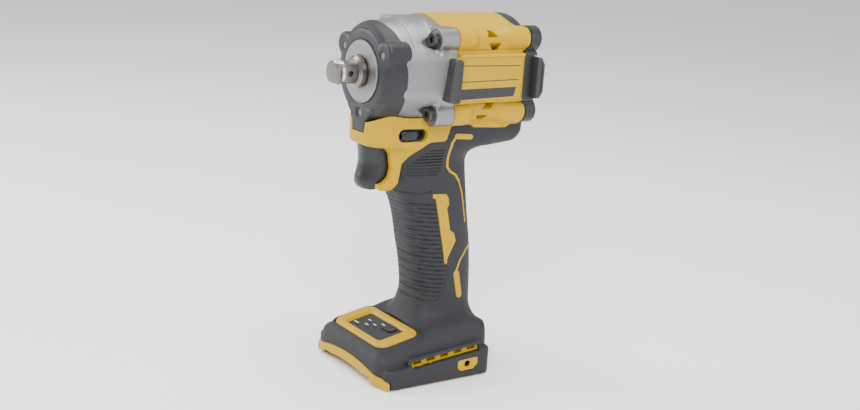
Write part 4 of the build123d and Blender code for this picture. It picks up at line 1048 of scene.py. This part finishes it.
# ----------------------------------------------------------------- controls
# front of the trigger: height and station
LEVER = (
    (94.2, -32.9),
    (96.2, -34.3),
    (98.8, -34.4),
    (102.4, -33.5),
    (106.6, -32.8),
    (110.6, -33.0),
    (114.6, -33.6),
    (118.6, -34.0),
)
LEVER_Z, LEVER_X = spline(LEVER, 0.8)
TRIGGER_SIDE = (
    *zip(LEVER_X[::-1], LEVER_Z[::-1]),
    (-31.6, 93.6),
    (-29.6, 93.5),
    (-26.8, 94.8),
    (-23.0, 98.8),
    (-18.4, 103.0),
    (-16.8, 108.0),
    (-16.2, 115.6),
    (-22.0, 116.4),
    (-23.0, 118.6),
)


def trigger(x, y, z):
    """Finger lever, round in front and hollow in profile."""
    side = poly(x, z, TRIGGER_SIDE)
    plan = box2(x, y, (-34.6, -TRIGGER_Y), (-6, TRIGGER_Y), 7.6)
    crown = (y / TRIGGER_Y) ** 2 * 5.2 * (1 - step_up(x, -26.0, -19.0))
    d = smax(poly(x - crown, z, TRIGGER_SIDE), smax(side, plan, 1.6), 1.2)
    return d * 0.8


piece(
    "finger_trigger", trigger, (-37, -9.5, 92), (-13, 9.5, 120), 0.35, "trigger_lever", TRIGGER,
    ["trigger"],
)


def direction(x, y, z):
    """Bar across the case, with a hollow crown at each end."""
    crown = np.abs(y) - 16.6 + 0.035 * (x - BUTTON[0] + 1.8) ** 2
    return rounded(button_bar(x, z, 2.3), crown, 0.8)


piece("direction_bar", direction, (-20, -18, 118), (-5, 18, 126), 0.35, "direction_bar", PLASTIC,
      ["direction_button"])


def bezel(x, y, z):
    """Domed frame round the mode panel, with sloping inner sides."""
    u, w = panel_u(x, z), panel_plane(x, z)
    ring = rounded(box2(u, y, (-12.2, -23.5), (12.2, 23.5), 6.0), np.abs(w + 0.6) - 2.2, 2.0)
    hole = box2(u, y, (-7.3, -15.6), (7.3, 15.6), 1.0)
    slope = hole - np.clip(w - 0.2, 0, 2) * 0.9
    return np.maximum(ring, -slope)


piece("mode_bezel_ring", bezel, (-32.5, -25.2, 13), (-3.2, 25.2, 27), 0.35, "body", YELLOW, ["mode_bezel"])


# ---------------------------------------------------------------- print marks
def plate(name, outline, thickness, place, body, mat):
    """Thin closed plate from a side-view outline, put in place by a function."""
    n = len(outline)
    pts = [place(u, v, 0.0) for u, v in outline] + [place(u, v, thickness) for u, v in outline]
    mesh = bpy.data.meshes.new(name)
    faces = [list(range(n))[::-1], list(range(n, 2 * n))]
    faces += [[i, (i + 1) % n, n + (i + 1) % n, n + i] for i in range(n)]
    mesh.from_pydata([Vector(p) * MM for p in pts], [], faces)
    mesh.validate()
    obj = bpy.data.objects.new(name, mesh)
    bpy.context.scene.collection.objects.link(obj)
    finish_piece(obj, body, mat, [])
    return obj


def merged(name, objs):
    """One object from several, so a printed sign is one piece."""
    target = objs[0]
    with bpy.context.temp_override(active_object=target, selected_editable_objects=objs):
        bpy.ops.object.join()
    target.name = name
    return target


for label, s in (("left", -1), ("right", 1)):
    def on_side(u, v, t, s=s):
        return (u, s * (30.72 + t), AXIS_Z + v)

    bars = []
    for k, outline in enumerate(
        (
            ((0.9, 6.6), (36.6, 5.9), (36.6, 5.5), (0.9, 6.2)),
            ((0.6, -1.2), (36.2, -0.8), (36.2, -1.2), (0.6, -1.6)),
            ((0.4, -4.8), (34.8, -4.6), (33.8, -8.4), (33.2, -9.2), (-0.1, -9.9), (-0.3, -9.2)),
        )
    ):
        bars.append(plate(f"badge_{label}_{k}", outline, 0.16, on_side, "body", PRINT))
    merged(f"badge_print_{label}", bars)


def on_panel(u, v, t):
    """Point on the mode panel, t above its film."""
    lift = 0.02 + t
    return (
        -PANEL_X + u * PANEL_COS - lift * PANEL_SIN,
        v,
        PANEL_Z + FILM_RISE + u * PANEL_SIN + lift * PANEL_COS,
    )


# plain marks on the mode panel: place up the slope, place across it, half length
MARKS = ((-4.4, 11.4, 1.9), (-2.2, 5.2, 1.5), (1.6, 8.2, 1.2), (0.4, 1.6, 1.2), (3.6, -1.6, 1.4))
MARK_HALF = 0.35
marks = []
for k, (u, v, half) in enumerate(MARKS):
    low, high = u - MARK_HALF, u + MARK_HALF
    outline = ((low, v - half), (high, v - half), (high, v + half), (low, v + half))
    marks.append(plate(f"panel_mark_{k}", outline, 0.1, on_panel, "body", PALE_PRINT))
merged("panel_marks", marks)

# -------------------------------------------------- carried-over CAD pieces
LOOK = {
    "tool_steel": STEEL,
    "dark_steel": DARK_STEEL,
    "bright_steel": BRIGHT,
    "spring_steel": SPRING,
    "bronze": BRONZE,
    "brass": BRASS,
    "copper_wire": COPPER,
    "laminations": CORE,
    "magnet": MAGNET,
    "black_rubber": RUBBER,
    "nylon": NYLON,
    "clear_lens": LENS,
    "led": LED,
    "circuit_board": BOARD,
    "wire_insulation": LEAD,
    "panel_film": FILM,
    "black_plastic": PLASTIC,
    "yellow_shell": YELLOW,
    "overmould": SOFT,
    "cast_aluminium": CAST,
}
slots = {s["node"]: s["material_slot"] for s in frame["record"]["subparts"]}
for node, obj in frame["nodes"].items():
    obj.data.materials.clear()
    obj.data.materials.append(LOOK[slots[node]])
for node in ("anvil", "nose_screws", "rear_cap_screws", "hog_ring", "mode_panel", "mode_key"):
    obj = frame["nodes"][node]
    soften = obj.modifiers.new("edge", "BEVEL")
    soften.width = 0.00022
    soften.segments = 2
    soften.limit_method = "ANGLE"
    soften.angle_limit = math.radians(35)
    soften.harden_normals = True

# --------------------------------------------------------------- floor, light
FLOOR_SIZE = 12.0
bpy.ops.mesh.primitive_plane_add(size=FLOOR_SIZE, location=(0, 0, -0.0002))
floor = bpy.context.object
floor.name = "floor"
floor_mat = bpy.data.materials.new("floor")
floor_mat.use_nodes = True
floor_shader = floor_mat.node_tree.nodes["Principled BSDF"]
floor_shader.inputs["Base Color"].default_value = (0.93, 0.93, 0.935, 1)
floor_shader.inputs["Roughness"].default_value = 0.7
floor.data.materials.append(floor_mat)

world = bpy.data.worlds.new("studio")
bpy.context.scene.world = world
world.use_nodes = True
world.node_tree.nodes["Background"].inputs[0].default_value = (1.0, 1.0, 1.0, 1)
world.node_tree.nodes["Background"].inputs[1].default_value = 0.85


def area(name, place, aim, size, power):
    data = bpy.data.lights.new(name, "AREA")
    data.shape = "RECTANGLE"
    data.size, data.size_y = size
    data.energy = power
    lamp = bpy.data.objects.new(name, data)
    bpy.context.scene.collection.objects.link(lamp)
    lamp.location = place
    lamp.rotation_euler = (Vector(aim) - Vector(place)).to_track_quat("-Z", "Y").to_euler()
    return lamp


area("key", (-0.55, -0.75, 0.85), (0, 0, 0.1), (0.5, 0.5), 14.0)
area("fill", (0.75, -0.75, 0.45), (0, 0, 0.1), (0.6, 0.8), 4.0)
area("top", (0.05, 0.05, 1.0), (0, 0, 0.1), (0.7, 0.7), 10.0)
area("rim", (-0.6, 0.7, 0.5), (0, 0, 0.12), (0.4, 0.6), 8.0)

# -------------------------------------------------------------------- camera
CAMERA_PLACE = (-0.36093, -0.52436, 0.24694)
CAMERA_TURN = (-35.3115, 14.4454, 4.0364)  # yaw, pitch and roll in degrees
FOCAL_LENGTH = 54.94
yaw, pitch, roll = (math.radians(angle) for angle in CAMERA_TURN)
look = Vector((-math.sin(yaw) * math.cos(pitch), math.cos(yaw) * math.cos(pitch), -math.sin(pitch)))
right = Vector((math.cos(yaw), math.sin(yaw), 0))
up = right.cross(look)
right, up = right * math.cos(roll) + up * math.sin(roll), -right * math.sin(roll) + up * math.cos(roll)
lens = bpy.data.cameras.new("camera")
lens.sensor_width = 36.0
lens.lens = FOCAL_LENGTH
lens.clip_start = 0.01
camera = bpy.data.objects.new("camera", lens)
bpy.context.scene.collection.objects.link(camera)
place = Matrix((right, up, -look)).transposed().to_4x4()
place.translation = Vector(CAMERA_PLACE)
camera.matrix_world = place
bpy.context.scene.camera = camera
